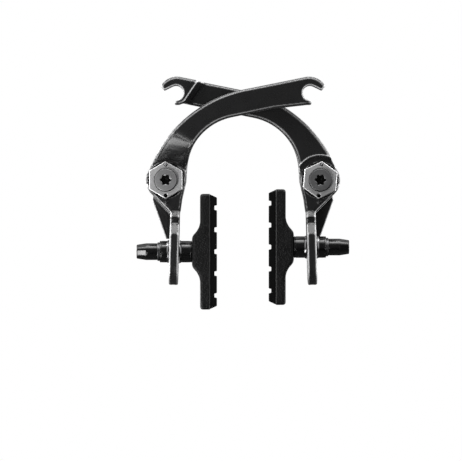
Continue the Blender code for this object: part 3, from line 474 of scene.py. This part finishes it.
def new_finish(
    name, colour, metallic, rough, pattern, size, relief, specular=0.5,
    shade=0.15, edge_light_colour=None, edge_light_amount=0.0, centre=None, hollow=None,
):
    """A material: colour, metallic share, (low, high) roughness, pattern and its size and relief.

    Shade is how much the pattern darkens the colour. Centre is the axis that marks run round: its
    three numbers are taken off the position, and a None drops that axis from the distance. The
    attributes edge and hollow say where a painted highlight lightens the edges and where painted
    shade darkens the hollows.
    attributes edge and hollow say where the surface is rubbed and where it is dark with grime.
    """
    made = bpy.data.materials.new(name)
    made.use_nodes = True
    tree = made.node_tree
    tree.nodes.clear()
    add = node_maker(tree)
    place = add("ShaderNodeTexCoord").outputs["Object"]
    at = place
    if centre is not None:
        offset = [-(value or 0.0) for value in centre]
        keep = [0.0 if value is None else 1.0 for value in centre]
        moved = add("ShaderNodeMapping", {"Vector": place, "Location": offset, "Scale": keep})
        at = moved.outputs[0]
    relief_group = add("ShaderNodeGroup", node_tree=SURFACE_GROUPS[pattern])
    tree.links.new(at, relief_group.inputs["Vector"])
    relief_group.inputs[1].default_value = size
    gloss = add("ShaderNodeGroup", node_tree=smudges)
    tree.links.new(place, gloss.inputs["Vector"])
    gloss.inputs["Low"].default_value = rough[0]
    gloss.inputs["High"].default_value = rough[1]
    dark = [channel * (1 - shade) for channel in colour]
    paint = mixed(add, relief_group.outputs["Mask"], (*dark, 1), (*colour, 1))
    # A light colour along the edges: a painted highlight.
    if edge_light_colour is not None:
        edge_light = add("ShaderNodeAttribute", attribute_name="edge").outputs["Fac"]
        edges = add("ShaderNodeGroup", node_tree=edge_light_group)
        tree.links.new(place, edges.inputs["Vector"])
        tree.links.new(edge_light, edges.inputs["Edge"])
        edges.inputs["Amount"].default_value = edge_light_amount
        paint = mixed(add, edges.outputs["Mask"], paint, (*edge_light_colour, 1))
    # A dark colour in the hollows: painted shade.
    if hollow is not None:
        painted_shade = add("ShaderNodeAttribute", attribute_name="hollow").outputs["Fac"]
        paint = mixed(add, painted_shade, paint, (*hollow, 1))
    bump = add("ShaderNodeBump", {
        "Strength": 1.0, "Distance": relief, "Height": relief_group.outputs["Height"],
    })
    shader = add("ShaderNodeBsdfPrincipled", {
        "Base Color": paint,
        "Metallic": metallic,
        "Roughness": gloss.outputs["Roughness"],
        "Specular IOR Level": specular,
        "Normal": bump.outputs["Normal"],
    })
    add("ShaderNodeOutputMaterial", {"Surface": shader.outputs[0]})
    return made


# %% The finishes of this brake
def stud_axis(side):
    """The axis of a side's stud, for marks that run round it."""
    centre = on_stud(side)(0.0, 0.0, 0.0)
    return (None, float(centre[1]), float(centre[2]))


# The same plated bolt stands on both sides: the lighter left colour and the darker right one are painted
# light and shade.
BOLT_COLOUR_AS_LIT = {"left": (0.42, 0.42, 0.425), "right": (0.25, 0.25, 0.255)}

finishes = {
    # The arm's near-white edge colour is a painted highlight along its edges.
    "black_arm": new_finish(
        "arm_paint", (0.0115, 0.0115, 0.0119), 0.0, (0.24, 0.32), "grain", 0.00022, 0.000005,
        shade=0.25, edge_light_colour=(0.85, 0.85, 0.855), edge_light_amount=1.0,
    ),
    "spring_steel": new_finish(
        "spring_wire", (0.46, 0.46, 0.47), 1.0, (0.22, 0.32), "grain", 0.00012, 0.000004, shade=0.2,
    ),
    "seal_rubber": new_finish(
        "seal_rubber", (0.030, 0.030, 0.030), 0.0, (0.6, 0.75), "grain", 0.0002, 0.000008, specular=0.35,
    ),
    # The holder's lighter edge colour is a painted highlight.
    "carrier_rubber": new_finish(
        "moulded_holder", (0.0060, 0.0060, 0.0062), 0.0, (0.34, 0.44), "pebble", 0.00080, 0.000120,
        specular=0.25, shade=0.5, edge_light_colour=(0.12, 0.12, 0.12), edge_light_amount=0.8,
    ),
    "friction_rubber": new_finish(
        "friction_block", (0.0025, 0.0025, 0.0026), 0.0, (0.60, 0.75), "grain", 0.00025, 0.00002,
        specular=0.08, shade=0.4,
    ),
}
for side in INWARD:
    pivot_centre = (-INWARD[side] * PIVOT, None, 0.0)
    # The plate's light edge colour is a painted highlight.
    finishes[f"{side} bright_steel"] = new_finish(
        f"{side}_plated_plate", (0.72, 0.72, 0.725), 1.0, (0.42, 0.54), "marks", 0.00016, 0.000008,
        shade=0.2, edge_light_colour=(0.85, 0.85, 0.85), edge_light_amount=0.6, centre=pivot_centre,
    )
    # The bolt's near-black colour in its socket and on its rim bevel is painted shade.
    finishes[f"{side} dark_steel"] = new_finish(
        f"{side}_plated_bolt", BOLT_COLOUR_AS_LIT[side], 1.0, (0.40, 0.50), "marks", 0.00014, 0.000009,
        shade=0.3, centre=pivot_centre, hollow=(0.012, 0.012, 0.012),
    )
    finishes[f"{side} bronze"] = new_finish(
        f"{side}_sintered_bronze", (0.42, 0.27, 0.12), 1.0, (0.35, 0.5), "grain", 0.00018, 0.000012,
        shade=0.4,
    )
    finishes[f"{side} black_hardware"] = new_finish(
        f"{side}_black_oxide", (0.0030, 0.0030, 0.0031), 0.0, (0.15, 0.21), "marks", 0.00018, 0.000001,
        specular=0.55, shade=0.3, centre=stud_axis(side),
    )
    finishes[f"{side} domed_washer"] = new_finish(
        f"{side}_polished_dome", (0.24, 0.24, 0.245), 1.0, (0.16, 0.22), "marks", 0.00012, 0.0000004,
        shade=0.2, centre=stud_axis(side),
    )
    finishes[f"{side} plain_washer"] = new_finish(
        f"{side}_plain_washer", (0.12, 0.12, 0.122), 1.0, (0.30, 0.40), "marks", 0.00012, 0.000001,
        shade=0.2, centre=stud_axis(side),
    )
    finishes[f"{side} post_steel"] = new_finish(
        f"{side}_post_steel", (0.20, 0.20, 0.20), 1.0, (0.3, 0.42), "grain", 0.0002, 0.000005, shade=0.2,
    )
print("materials:", len(finishes))


# %% Hang a piece on its body, in its node's place
def dress(piece, node, finish=None, winds=None):
    """The piece stands for a CAD node: it rides on the node's body and takes over its finish.

    Only whether winds is given counts: a spring is then baked where it stands instead of riding, and
    stays with the frame.
    """
    cad = frame["nodes"][node]
    side = node.split("_")[0]
    slot = slot_of[node]
    piece.data.materials.clear()
    piece.data.materials.append(finishes.get(f"{side} {finish or slot}") or finishes[finish or slot])
    if winds:
        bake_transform(piece)
    else:
        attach(piece, body_of[node])
    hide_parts(cad.name)


bodies = frame["record"]["behaviour"]["bodies"]
body_of = {node: body for body, members in bodies.items() for node in members}
slot_of = {name: cad.data.materials[0].name for name, cad in frame["nodes"].items()}
print("slots:", sorted(set(slot_of.values())))

# %% [markdown]
# ## Arms
#
# Each arm is forged from aluminium and then painted, so no edge on it is sharp: every corner is
# rounded and every inner corner has a fillet. Bevelling hundreds of edges one by one would leave
# seams where they meet. Wrapping the whole solid in a fine, even grid and relaxing it a little
# rounds every edge and fills every corner at once, as forging and tumbling do.

# %% A CAD node as one joined mesh
SAME_PLACE = 1e-6
FLAT_ANGLE = 0.5


def joined_copy(node, name):
    """A copy of a node's mesh. Its loose triangles are joined where their corners have one place."""
    source = frame["nodes"][node].data
    points = np.empty(len(source.vertices) * 3)
    source.vertices.foreach_get("co", points)
    points = points.reshape(-1, 3)
    corners = np.empty(len(source.loops), dtype=int)
    source.loops.foreach_get("vertex_index", corners)
    places = np.round(points / SAME_PLACE).astype(int)
    _, first, joined = np.unique(places, axis=0, return_index=True, return_inverse=True)
    mesh = bpy.data.meshes.new(name)
    mesh.from_pydata(points[first], [], joined.reshape(-1)[corners].reshape(-1, 3))
    return finished_mesh(name, mesh, flatten=FLAT_ANGLE)


def settle(piece):
    """Apply a piece's modifiers, so that its mesh is final."""
    evaluated = piece.evaluated_get(bpy.context.evaluated_depsgraph_get())
    mesh = bpy.data.meshes.new_from_object(evaluated)
    piece.modifiers.clear()
    piece.data = mesh
    mesh.name = piece.name
    print(piece.name, "settled, faces:", len(mesh.polygons))


def vertex_places(mesh):
    """A mesh's vertices as an array with three columns."""
    points = np.empty(len(mesh.vertices) * 3)
    mesh.vertices.foreach_get("co", points)
    return points.reshape(-1, 3)


def relaxed(points, ends, rounds):
    """Moves every point half of the way to the average of its neighbours, again and again."""
    count = len(points)
    neighbours = np.bincount(ends.ravel(), minlength=count)[:, None]
    for _ in range(rounds):
        total = np.stack([
            np.bincount(ends[:, 0], weights=points[ends[:, 1], k], minlength=count)
            + np.bincount(ends[:, 1], weights=points[ends[:, 0], k], minlength=count)
            for k in range(3)
        ], axis=-1)
        points = (points + total / neighbours) / 2
    return points


def mark(mesh, name, values):
    """Store one number for each vertex, which a material can read by its name."""
    mesh.attributes.new(name, "FLOAT", "POINT").data.foreach_set("value", np.asarray(values, np.float32))


def wrapped(piece, grid, rounds):
    """Wrap a closed mesh in an even grid of quads, and relax it to round its edges."""
    wrap = piece.modifiers.new("wrap", "REMESH")
    wrap.mode = "VOXEL"
    wrap.voxel_size = grid
    wrap.use_smooth_shade = True
    relax = piece.modifiers.new("relax", "SMOOTH")
    relax.factor = 0.5
    relax.iterations = rounds
    settle(piece)
    return piece


# %% Mark painted light on the edges and ease what is nearly flat
EASE_ROUNDS = 40
EASE_HEIGHTS = (0.00005, 0.00016)
EDGE_ROUNDS = 8
LEAST_EDGE_LIGHT = 0.2
RIDGE_BORDER = 24
RIDGE_END = 40
RIDGE_SPAN = (-0.0175, -0.0020)
RIDGE_FRONT = 0.0105


def between(values, low, high):
    """How far each value has come from low to high, from 0 to 1."""
    return np.clip((values - low) / (high - low), 0, 1)


def mark_edge_light(piece, edge_heights, ease=False, sheltered=(), ridge=None):
    """Marks how far each vertex stands out of a smoothed copy of its surface, from 0 to 1.

    Height = (point - smoothed point) . normal. With ease, a point takes the place of one that is
    smoothed far more wherever the two are close, so shallow facets fade and real edges stay.
    The mark is the share of painted highlight that an edge gets. Edges that face down, away from the
    lamps, get less of it, and sheltered places, given as x, z and radius, none. A ridge is the
    direction that a narrow chamfer faces: where the surface turns away from it by about RIDGE_BORDER
    degrees, at both of its borders, the highlight is painted, and its middle gets none.
    """
    mesh = piece.data
    points = vertex_places(mesh)
    ends = np.empty(len(mesh.edges) * 2, dtype=int)
    mesh.edges.foreach_get("vertices", ends)
    ends = ends.reshape(-1, 2)
    if ease:
        smooth = relaxed(points, ends, EASE_ROUNDS)
        apart = np.linalg.norm(points - smooth, axis=1, keepdims=True)
        points = smooth + (points - smooth) * between(apart, *EASE_HEIGHTS)
        mesh.vertices.foreach_set("co", points.ravel())
        mesh.update()
    normals = np.empty(len(points) * 3)
    mesh.vertices.foreach_get("normal", normals)
    normals = normals.reshape(-1, 3)
    height = ((points - relaxed(points, ends, EDGE_ROUNDS)) * normals).sum(axis=1)
    # The share of painted highlight: edges that face down, away from the lamps, get less.
    edge_light = between(height, *edge_heights) * np.maximum(between(normals[:, 2], -0.65, -0.25), LEAST_EDGE_LIGHT)
    if ridge is not None:
        facing = np.asarray(ridge) / np.linalg.norm(ridge)
        turn = np.degrees(np.arccos(np.clip(normals @ facing, -1, 1)))
        border = np.clip(1.4 - np.abs(turn - RIDGE_BORDER) / 8, 0, 1)
        up, forward = points[:, 2], -points[:, 1]
        beside = (up > RIDGE_SPAN[0]) & (up < RIDGE_SPAN[1]) & (forward > RIDGE_FRONT)
        edge_light = np.where(beside & (turn < RIDGE_END), border, edge_light)
    for x, z, radius in sheltered:
        edge_light[np.hypot(points[:, 0] - x, points[:, 2] - z) < radius] = 0
    mark(mesh, "edge", edge_light)
    print(piece.name, "height of edges, mm:", np.round(np.percentile(height, [50, 90, 97, 99.5]) * 1000, 3))


# %% Both arms
ARM_GRID = 0.00034
ARM_ROUNDS = 5
ARM_EDGES = (0.00005, 0.00011)
UNDER_HEX = 0.0095
STOP_BUMP = (-0.0109, 0.0017)
RIDGE_FACING = (0.51, -0.71, -0.49)

for side in INWARD:
    arm = wrapped(joined_copy(f"{side}_arm", f"{side}_forged_arm"), ARM_GRID, ARM_ROUNDS)
    axis_x = -INWARD[side] * PIVOT
    # Painted highlight: none under the hexagonal plate or on the stop bump, and on the web's chamfer only
    # along its two borders.
    sheltered = [(axis_x, 0, UNDER_HEX), (axis_x, *STOP_BUMP)]
    ridge = (-INWARD[side] * RIDGE_FACING[0], *RIDGE_FACING[1:])
    mark_edge_light(arm, ARM_EDGES, ease=True, sheltered=sheltered, ridge=ridge)
    dress(arm, f"{side}_arm")

# %% [markdown]
# ## Bushing, seal and spring, inside the hub
#
# A bronze bushing turns on the frame's post, and a rubber ring keeps grit out at the rear. The
# torsion spring is wire wound about the bushing. Its rear leg is held in the arm and its front leg in
# the hexagonal plate, so turning that plate tightens the spring. The wire is a circle carried along
# the spring's centre line. A curve with a round bevel could draw it too, but not its cut end. The
# wire is baked where it stands and stays with the frame, so it follows neither the plate nor the arm
# when they turn. Its rear leg can't be seen inside the hub.

# %% Bushing and seal
POST_BORE = 0.00455
BUSHING_RADIUS = 0.00555
BUSHING_BACK = 0.0015
BUSHING_FRONT = 0.0140
SEAL_RADIUS = 0.00655
SEAL_FRONT = 0.00105
SEAL_GROOVE = 0.00035

for side in INWARD:
    bushing_profile = softened([
        (BUSHING_RADIUS, BUSHING_FRONT), (BUSHING_RADIUS, BUSHING_BACK),
        (POST_BORE, BUSHING_BACK), (POST_BORE, BUSHING_FRONT),
    ], 0.00025, ring=True)
    bushing = turned(f"{side}_bushing_turned", bushing_profile, on_pivot(side), ring=True)
    dress(bushing, f"{side}_pivot_bushing")
    seal_profile = softened([
        (SEAL_RADIUS, SEAL_FRONT), (SEAL_RADIUS, 0.0), (0.00600, 0.0), (0.00580, SEAL_GROOVE),
        (0.00530, SEAL_GROOVE), (0.00510, 0.0), (POST_BORE, 0.0), (POST_BORE, SEAL_FRONT),
    ], 0.0002, ring=True)
    seal = turned(f"{side}_seal_lip", seal_profile, on_pivot(side), ring=True)
    dress(seal, f"{side}_dust_seal")

# %% The spring's centre line
WIRE = 0.00075
COIL_RADIUS = 0.00685
LEG_CIRCLE = 0.0081
LEG_FLOOR = 0.0041
COIL_LOW = 0.00795
COIL_HIGH = 0.01325
HEX_BACK = 0.0146
LEG_END = 0.0175
HEX_TURN = {"left": 0.0, "right": 5.5}
FOOT_ANGLE = 152.0
LEAD_IN = 8
FRONT_LEG_ANGLES = np.array([6, 11, 16, 16, 16])
FRONT_LEG_RADII = [0.00741, 0.00791, LEG_CIRCLE, LEG_CIRCLE, LEG_CIRCLE]
FRONT_LEG_DEPTHS = [COIL_HIGH, COIL_HIGH + 0.0001, COIL_HIGH + 0.0006, HEX_BACK, LEG_END]


def spring_line(side, count=480, blend=9):
    """Points along the spring: a rear leg, a turn and a half of coil and a front leg.

    A few stations give angle, radius and depth. Points between them are interpolated in even
    steps, and each is then averaged with its neighbours, which bends the wire round each corner.
    """
    turn = INWARD[side]
    foot = turn * FOOT_ANGLE
    coil_start = foot + turn * LEAD_IN
    foot_to_hole = 720 - turn * (foot - HEX_TURN[side])
    coil_end = coil_start + turn * (foot_to_hole - LEAD_IN - FRONT_LEG_ANGLES[-1])
    coil = np.linspace(0, 1, 120)
    rear_radii = np.full(len(coil) + 2, COIL_RADIUS)
    rear_depths = [LEG_FLOOR, COIL_LOW - 0.001]
    front_angles = coil_end + turn * FRONT_LEG_ANGLES
    angle = np.concatenate([[foot, foot], coil_start + (coil_end - coil_start) * coil, front_angles])
    radius = np.concatenate([rear_radii, FRONT_LEG_RADII])
    depth = np.concatenate([rear_depths, COIL_LOW + (COIL_HIGH - COIL_LOW) * coil, FRONT_LEG_DEPTHS])
    bend = np.radians(angle)
    station = np.stack([-turn * PIVOT + radius * np.sin(bend), -depth, radius * np.cos(bend)], axis=-1)
    run = np.concatenate([[0], np.cumsum(np.linalg.norm(np.diff(station, axis=0), axis=1))])
    even = np.linspace(0, run[-1], count)
    line = np.stack([np.interp(even, run, station[:, k]) for k in range(3)], axis=-1)
    padded = np.pad(line, ((blend // 2, blend // 2), (0, 0)), mode="edge")
    weights = np.ones(blend) / blend
    eased = np.stack([np.convolve(padded[:, k], weights, "valid") for k in range(3)], axis=-1)
    print(side, "spring wire:", round(run[-1] * 1000, 1), "mm")
    return eased


# %% A round wire along a line
def wire(name, line, axis_x, steps=16):
    """A circle carried along a line: point = line + r (cos a N + sin a B).

    N is the direction away from the coil's axis, made square to the line, and B is square to both.
    The last rows draw the cut end, with a small dimple in its middle.
    """
    along = np.gradient(line, axis=0)
    along /= np.linalg.norm(along, axis=1, keepdims=True)
    away = line - np.array([axis_x, 0, 0])
    away[:, 1] = 0
    away -= (away * along).sum(axis=1, keepdims=True) * along
    away /= np.linalg.norm(away, axis=1, keepdims=True)
    cap_radius = np.array([0.92, 0.80, 0.40, 0.28, 0.0]) * WIRE
    cap_step = np.array([0.00010, 0.00018, 0.00018, 0.0, -0.00004])
    radius = np.concatenate([[0, 0.85 * WIRE], np.full(len(line), WIRE), cap_radius])
    centre = np.concatenate([line[[0, 0]], line, line[-1] + along[-1] * cap_step[:, None]])
    normal = np.concatenate([away[[0, 0]], away, np.repeat(away[-1:], 5, axis=0)])
    forward = np.concatenate([along[[0, 0]], along, np.repeat(along[-1:], 5, axis=0)])
    side_way = np.cross(forward, normal)
    angle = np.linspace(0, 2 * np.pi, steps, endpoint=False)[None, :, None]
    spoke = np.cos(angle) * normal[:, None] + np.sin(angle) * side_way[:, None]
    return skin(name, centre[:, None] + radius[:, None, None] * spoke)


for side in INWARD:
    spring = wire(f"{side}_spring_wire", spring_line(side), -INWARD[side] * PIVOT)
    dress(spring, f"{side}_return_spring", winds=(COIL_LOW, COIL_HIGH))

# %% [markdown]
# ## Hexagonal plate
#
# The plate is stamped and plated: flat, with a bevel round its rim and two holes for the spring's
# leg. The CAD solid already has that form, and a Bevel modifier could soften its rim. Wrapped in an
# even grid, as the arms are but finer, the plate also gets points on its flat faces and edges, and so
# each point can say how much painted highlight its edge gets. The small rounds catch a thin light
# line, which that painted highlight makes brighter.

# %% Both hexagonal plates
HEX_GRID = 0.00016
HEX_ROUNDS = 3
HEX_EDGES = (0.00003, 0.00007)

for side in INWARD:
    plate = wrapped(joined_copy(f"{side}_tension_hex", f"{side}_hex_plate"), HEX_GRID, HEX_ROUNDS)
    # A painted highlight along the plate's edges.
    mark_edge_light(plate, HEX_EDGES)
    dress(plate, f"{side}_tension_hex")

# %% [markdown]
# ## Threads
#
# A rolled thread is a rod whose radius goes up and down as you move along it, and whose ups and downs
# shift with the angle, so that they form a helix. A Screw modifier would sweep a tooth along, and the
# tooth would then have to be joined to the rod. Here the helix is only a term in the radius, so rod
# and thread are one skin. The thread fades out near both of its ends, as a real one does.

# %% Radius of a thread
THREAD_PITCH = 0.0010
THREAD_DEPTH = 0.00052
THREAD_ROWS = 10
THREAD_FULLNESS = 0.8


def threaded(radius, angle, height, start, end, crest):
    """Crest minus depth x wave ^ fullness, with wave = 0.5 - 0.5 cos(2 pi height / pitch - angle)."""
    wave = 0.5 - 0.5 * np.cos(2 * np.pi * height / THREAD_PITCH - angle)
    fade = np.clip(np.minimum(height - start, end - height) / THREAD_PITCH, 0, 1)
    inside = (height > start) & (height < end) & (np.abs(radius - crest) < 0.0001)
    return np.where(inside, radius - THREAD_DEPTH * fade * wave ** THREAD_FULLNESS, radius)


def shaft_rows(radius, start, end):
    """Rows along a shaft, close enough together to carry a thread."""
    heights = np.linspace(start, end, int(abs(end - start) / THREAD_PITCH * THREAD_ROWS))
    return [(radius, height) for height in heights]


# %% [markdown]
# ## Pivot bolts
#
# The bolt screws into the frame's post and holds the arm and the hexagonal plate. Its head is wide
# and flat with a six-lobed socket. Inside the socket the radius swells and shrinks six times round
# the axis, and everywhere else it stays round. A boolean cut would leave long thin faces there. The
# attribute hollow, which grows with the depth below the head's face, darkens the socket and the
# narrow bevel round the head with painted shade, where the recess and the seat on the plate are in shadow.

# %% Both pivot bolts
HEAD_TOP = 0.0198
HEAD_RADIUS = 0.0061
BOLT_SEAT = 0.0175
BOLT_END = 0.0015
BOLT_RADIUS = 0.0030
SOCKET_FLOOR = HEAD_TOP - 0.0022
SOCKET_RADIUS = 0.00245
LOBE_SHARE = 0.16
RIM_SHADE_DEPTH = 0.00006
SOCKET_SHADE_DEPTH = 0.0005


def bolt_shape(radius, angle, height):
    """Six lobes in the socket, r (1 + LOBE_SHARE cos 6a), and a thread along the shank."""
    socket = (height > SOCKET_FLOOR - 0.0001) & (radius < SOCKET_RADIUS + 0.0004)
    lobed = np.where(socket, radius * (1 + LOBE_SHARE * np.cos(6 * angle)), radius)
    return threaded(lobed, angle, height, BOLT_END + 0.0003, BOLT_SEAT - 0.0020, BOLT_RADIUS)


for side in INWARD:
    head = softened([
        (0.0, SOCKET_FLOOR - 0.0003), (0.0010, SOCKET_FLOOR), (SOCKET_RADIUS - 0.0001, SOCKET_FLOOR),
        (SOCKET_RADIUS, HEAD_TOP - 0.0003), (SOCKET_RADIUS + 0.0003, HEAD_TOP),
        (HEAD_RADIUS - 0.0005, HEAD_TOP), (HEAD_RADIUS, HEAD_TOP - 0.0004), (HEAD_RADIUS, BOLT_SEAT),
        (BOLT_RADIUS, BOLT_SEAT),
    ], 0.00022)
    tip = [(BOLT_RADIUS - 0.0004, BOLT_END), (0.0, BOLT_END)]
    profile = [*head, *shaft_rows(BOLT_RADIUS, BOLT_SEAT - 0.0005, BOLT_END + 0.0004), *tip]
    bolt = turned(f"{side}_bolt", profile, on_pivot(side), shape=bolt_shape)
    # Painted shade: hollow grows with the depth below the head's face, over the socket and the narrow rim
    # bevel.
    place = vertex_places(bolt.data)
    at_rim = np.hypot(place[:, 0] + INWARD[side] * PIVOT, place[:, 2]) > HEAD_RADIUS / 2
    below_top = HEAD_TOP + place[:, 1] - 0.00005
    mark(bolt.data, "hollow", between(below_top, 0, np.where(at_rim, RIM_SHADE_DEPTH, SOCKET_SHADE_DEPTH)))
    dress(bolt, f"{side}_pivot_bolt")

# %% [markdown]
# ## Pad clamp
#
# Domed washers and hollow cups fit together like a ball joint, so the pad can be set at any angle
# before the nut is tightened. The domes have one centre, in the middle of the slotted plate. They
# could be cut from spheres, but a lathe makes them from a profile, and so does this script: each
# washer is a closed profile carried round the stud, with its dome drawn as a true arc.

# %% Domed washers and cups
PLATE_FACE = 0.0027
BALL_RADIUS = 0.0067
HOLLOW_RADIUS = 0.00675
STUD_BORE = 0.0033
PLATE_LEAN = 1.5
DOME_RIM = 0.0060
DOME_HOLE = 0.0039
CUP_WALL = 0.0056
GROOVE_DEPTH = 0.00015
INNER_CUP_END = 0.00927
OUTER_CUP_END = 0.0075
FLAT_RADIUS = 0.0048
FLAT_BACK = 0.00754
FLAT_FRONT = 0.00872


def arc_between(radius, outer, inner, facing, steps=14):
    """Points on a sphere's outline, from one distance from the axis to another."""
    angle = np.linspace(math.acos(inner / radius), math.acos(outer / radius), steps)
    return list(zip(radius * np.cos(angle), facing * radius * np.sin(angle)))


def domed_washer(facing):
    """The dome, its rim and its flat face on the plate."""
    face = facing * PLATE_FACE
    dome = arc_between(BALL_RADIUS, DOME_RIM, DOME_HOLE, facing)
    return softened([*dome, (DOME_RIM, face), (DOME_HOLE, face)], 0.00012, ring=True)


def cup_washer(facing, end):
    """The hollow that fits the dome, the outer wall with a fine groove near its end, and the end."""
    hollow = arc_between(HOLLOW_RADIUS, CUP_WALL, STUD_BORE, facing)
    groove = CUP_WALL - GROOVE_DEPTH
    rim = [
        (CUP_WALL, facing * (end - 0.0011)), (groove, facing * (end - 0.0010)),
        (groove, facing * (end - 0.0008)), (CUP_WALL, facing * (end - 0.0007)),
        (CUP_WALL, facing * (end - 0.0003)), (CUP_WALL - 0.0003, facing * end), (STUD_BORE, facing * end),
    ]
    return softened([*hollow, *rim], 0.00025, ring=True)


for side in INWARD:
    leaning = on_stud(side, PLATE_LEAN)
    straight = on_stud(side)
    washers = {
        "inner_ball_washer": (domed_washer(1), leaning, "domed_washer"),
        "outer_ball_washer": (domed_washer(-1), leaning, "domed_washer"),
        "inner_cup_washer": (cup_washer(1, INNER_CUP_END), straight, None),
        "outer_cup_washer": (cup_washer(-1, OUTER_CUP_END), straight, None),
    }
    flat = [
        (FLAT_RADIUS, -FLAT_BACK), (FLAT_RADIUS, -FLAT_FRONT),
        (STUD_BORE, -FLAT_FRONT), (STUD_BORE, -FLAT_BACK),
    ]
    washers["flat_washer"] = (softened(flat, 0.00022, ring=True), straight, "plain_washer")
    for name, (profile, place, finish) in washers.items():
        piece = turned(f"{side}_{name}_turned", profile, place, ring=True)
        dress(piece, f"{side}_{name}", finish)

# %% [markdown]
# ## Nuts and posts
#
# The nut is a round barrel with a tapered end for a spanner. On that end the radius at each angle is
# the smaller of the barrel's own radius and the distance to the nearest of six flats, so the flats
# cut into the barrel with the curved shoulder that a real nut has. Cutting a barrel with a hexagonal
# prism gives the same form, with a far less even mesh along the shoulders.

# %% Both nuts
NUT_BACK = 0.00876
NUT_END = 0.0195
NUT_RADIUS = 0.00435
FLATS_START = NUT_END - 0.0050
NUT_BORE_END = STUD_END + 0.0003
SHOULDER_RADIUS = 0.00430
TIP_RADIUS = 0.00364
FLAT_FACING = {"left": 187.0, "right": 184.0}
FLAT_SHARE = 0.950


def nut_shape(side):
    """A share of the radius / cos(angle from the middle of the nearest flat), where the flats are."""
    def shape(radius, angle, height):
        from_flat = np.mod(angle - math.radians(FLAT_FACING[side]) + np.pi / 6, np.pi / 3) - np.pi / 6
        flats = FLAT_SHARE * radius / np.cos(from_flat)
        outside = (-height > FLATS_START) & (radius > STUD_BORE)
        return np.where(outside, np.minimum(radius, flats), radius)
    return shape


for side in INWARD:
    back = softened([
        (0.0, -NUT_BORE_END), (STUD_BORE, -NUT_BORE_END), (STUD_BORE, -NUT_BACK),
        (NUT_RADIUS, -NUT_BACK), (NUT_RADIUS, -FLATS_START + 0.0009), (NUT_RADIUS, -FLATS_START + 0.0001),
    ], 0.0003)
    front = softened([
        (NUT_RADIUS, -FLATS_START - 0.0001), (SHOULDER_RADIUS, -FLATS_START - 0.0004),
        (TIP_RADIUS, -NUT_END + 0.0003), (0.0034, -NUT_END), (0.0022, -NUT_END),
        (0.0018, -NUT_END + 0.0003), (0.0, -NUT_END + 0.0003),
    ], 0.0003)
    profile = [*back, *front]
    nut = turned(f"{side}_barrel_nut", profile, on_stud(side), steps=144, shape=nut_shape(side))
    dress(nut, f"{side}_pad_nut")

# %% Both threaded posts
POST_RADIUS = 0.0030
POST_HEAD = 0.01765
POST_HEAD_RADIUS = 0.0040
POST_HEAD_END = POST_HEAD + 0.0009


def post_shape(radius, angle, height):
    """A thread from the outer end to well inside the pad."""
    return threaded(radius, angle, height, -STUD_END + 0.0003, POST_HEAD - 0.0040, POST_RADIUS)


for side in INWARD:
    head = softened([
        (0.0, POST_HEAD_END), (POST_HEAD_RADIUS, POST_HEAD_END),
        (POST_HEAD_RADIUS, POST_HEAD), (POST_RADIUS, POST_HEAD),
    ], 0.0002)
    end = [(POST_RADIUS - 0.0004, -STUD_END), (0.0, -STUD_END)]
    profile = [*head, *shaft_rows(POST_RADIUS, POST_HEAD - 0.0003, -STUD_END + 0.0004), *end]
    post = turned(f"{side}_post", profile, on_stud(side), steps=64, shape=post_shape)
    dress(post, f"{side}_pad_stud", "post_steel")

# %% [markdown]
# ## Pads
#
# The holder is moulded in rubber round a steel plate, with a grained skin from its mould. The block
# that rubs on the rim is a harder, duller rubber with five notches for water to leave by. Moulded
# rubber has no sharp edges, so the holder is wrapped in an even grid as the arms are. On the block
# that would blur the notches, and its few straight edges suit a Bevel modifier better.

# %% The friction block
SEAM = 0.00027
BACK_FACE = 1e-5
BLOCK_EDGE = 0.00022


def friction_block(side):
    """A joined copy of the block whose back is moved out to the holder, with rounded edges."""
    piece = joined_copy(f"{side}_pad_rubber", f"{side}_friction_block")
    points = vertex_places(piece.data)
    across = INWARD[side] * points[:, 0]
    at_back = across < across.min() + BACK_FACE
    points[:, 0] -= np.where(at_back, INWARD[side] * SEAM, 0.0)
    piece.data.vertices.foreach_set("co", points.ravel())
    rounds = piece.modifiers.new("rounds", "BEVEL")
    rounds.width = BLOCK_EDGE
    rounds.segments = 3
    rounds.limit_method = "ANGLE"
    rounds.angle_limit = math.radians(25)
    even = piece.modifiers.new("even", "WEIGHTED_NORMAL")
    even.weight = 100
    settle(piece)
    return piece


# %% Both pads
HOLDER_GRID = 0.00030
HOLDER_ROUNDS = 6
HOLDER_EDGES = (0.00005, 0.00011)

for side in INWARD:
    holder = joined_copy(f"{side}_pad_carrier", f"{side}_moulded_holder")
    wrapped(holder, HOLDER_GRID, HOLDER_ROUNDS)
    # A painted highlight along the holder's edges.
    mark_edge_light(holder, HOLDER_EDGES)
    dress(holder, f"{side}_pad_carrier")
    dress(friction_block(side), f"{side}_pad_rubber")
    insert = frame["nodes"][f"{side}_pad_insert"]
    insert.data.materials[0] = finishes[f"{side} post_steel"]
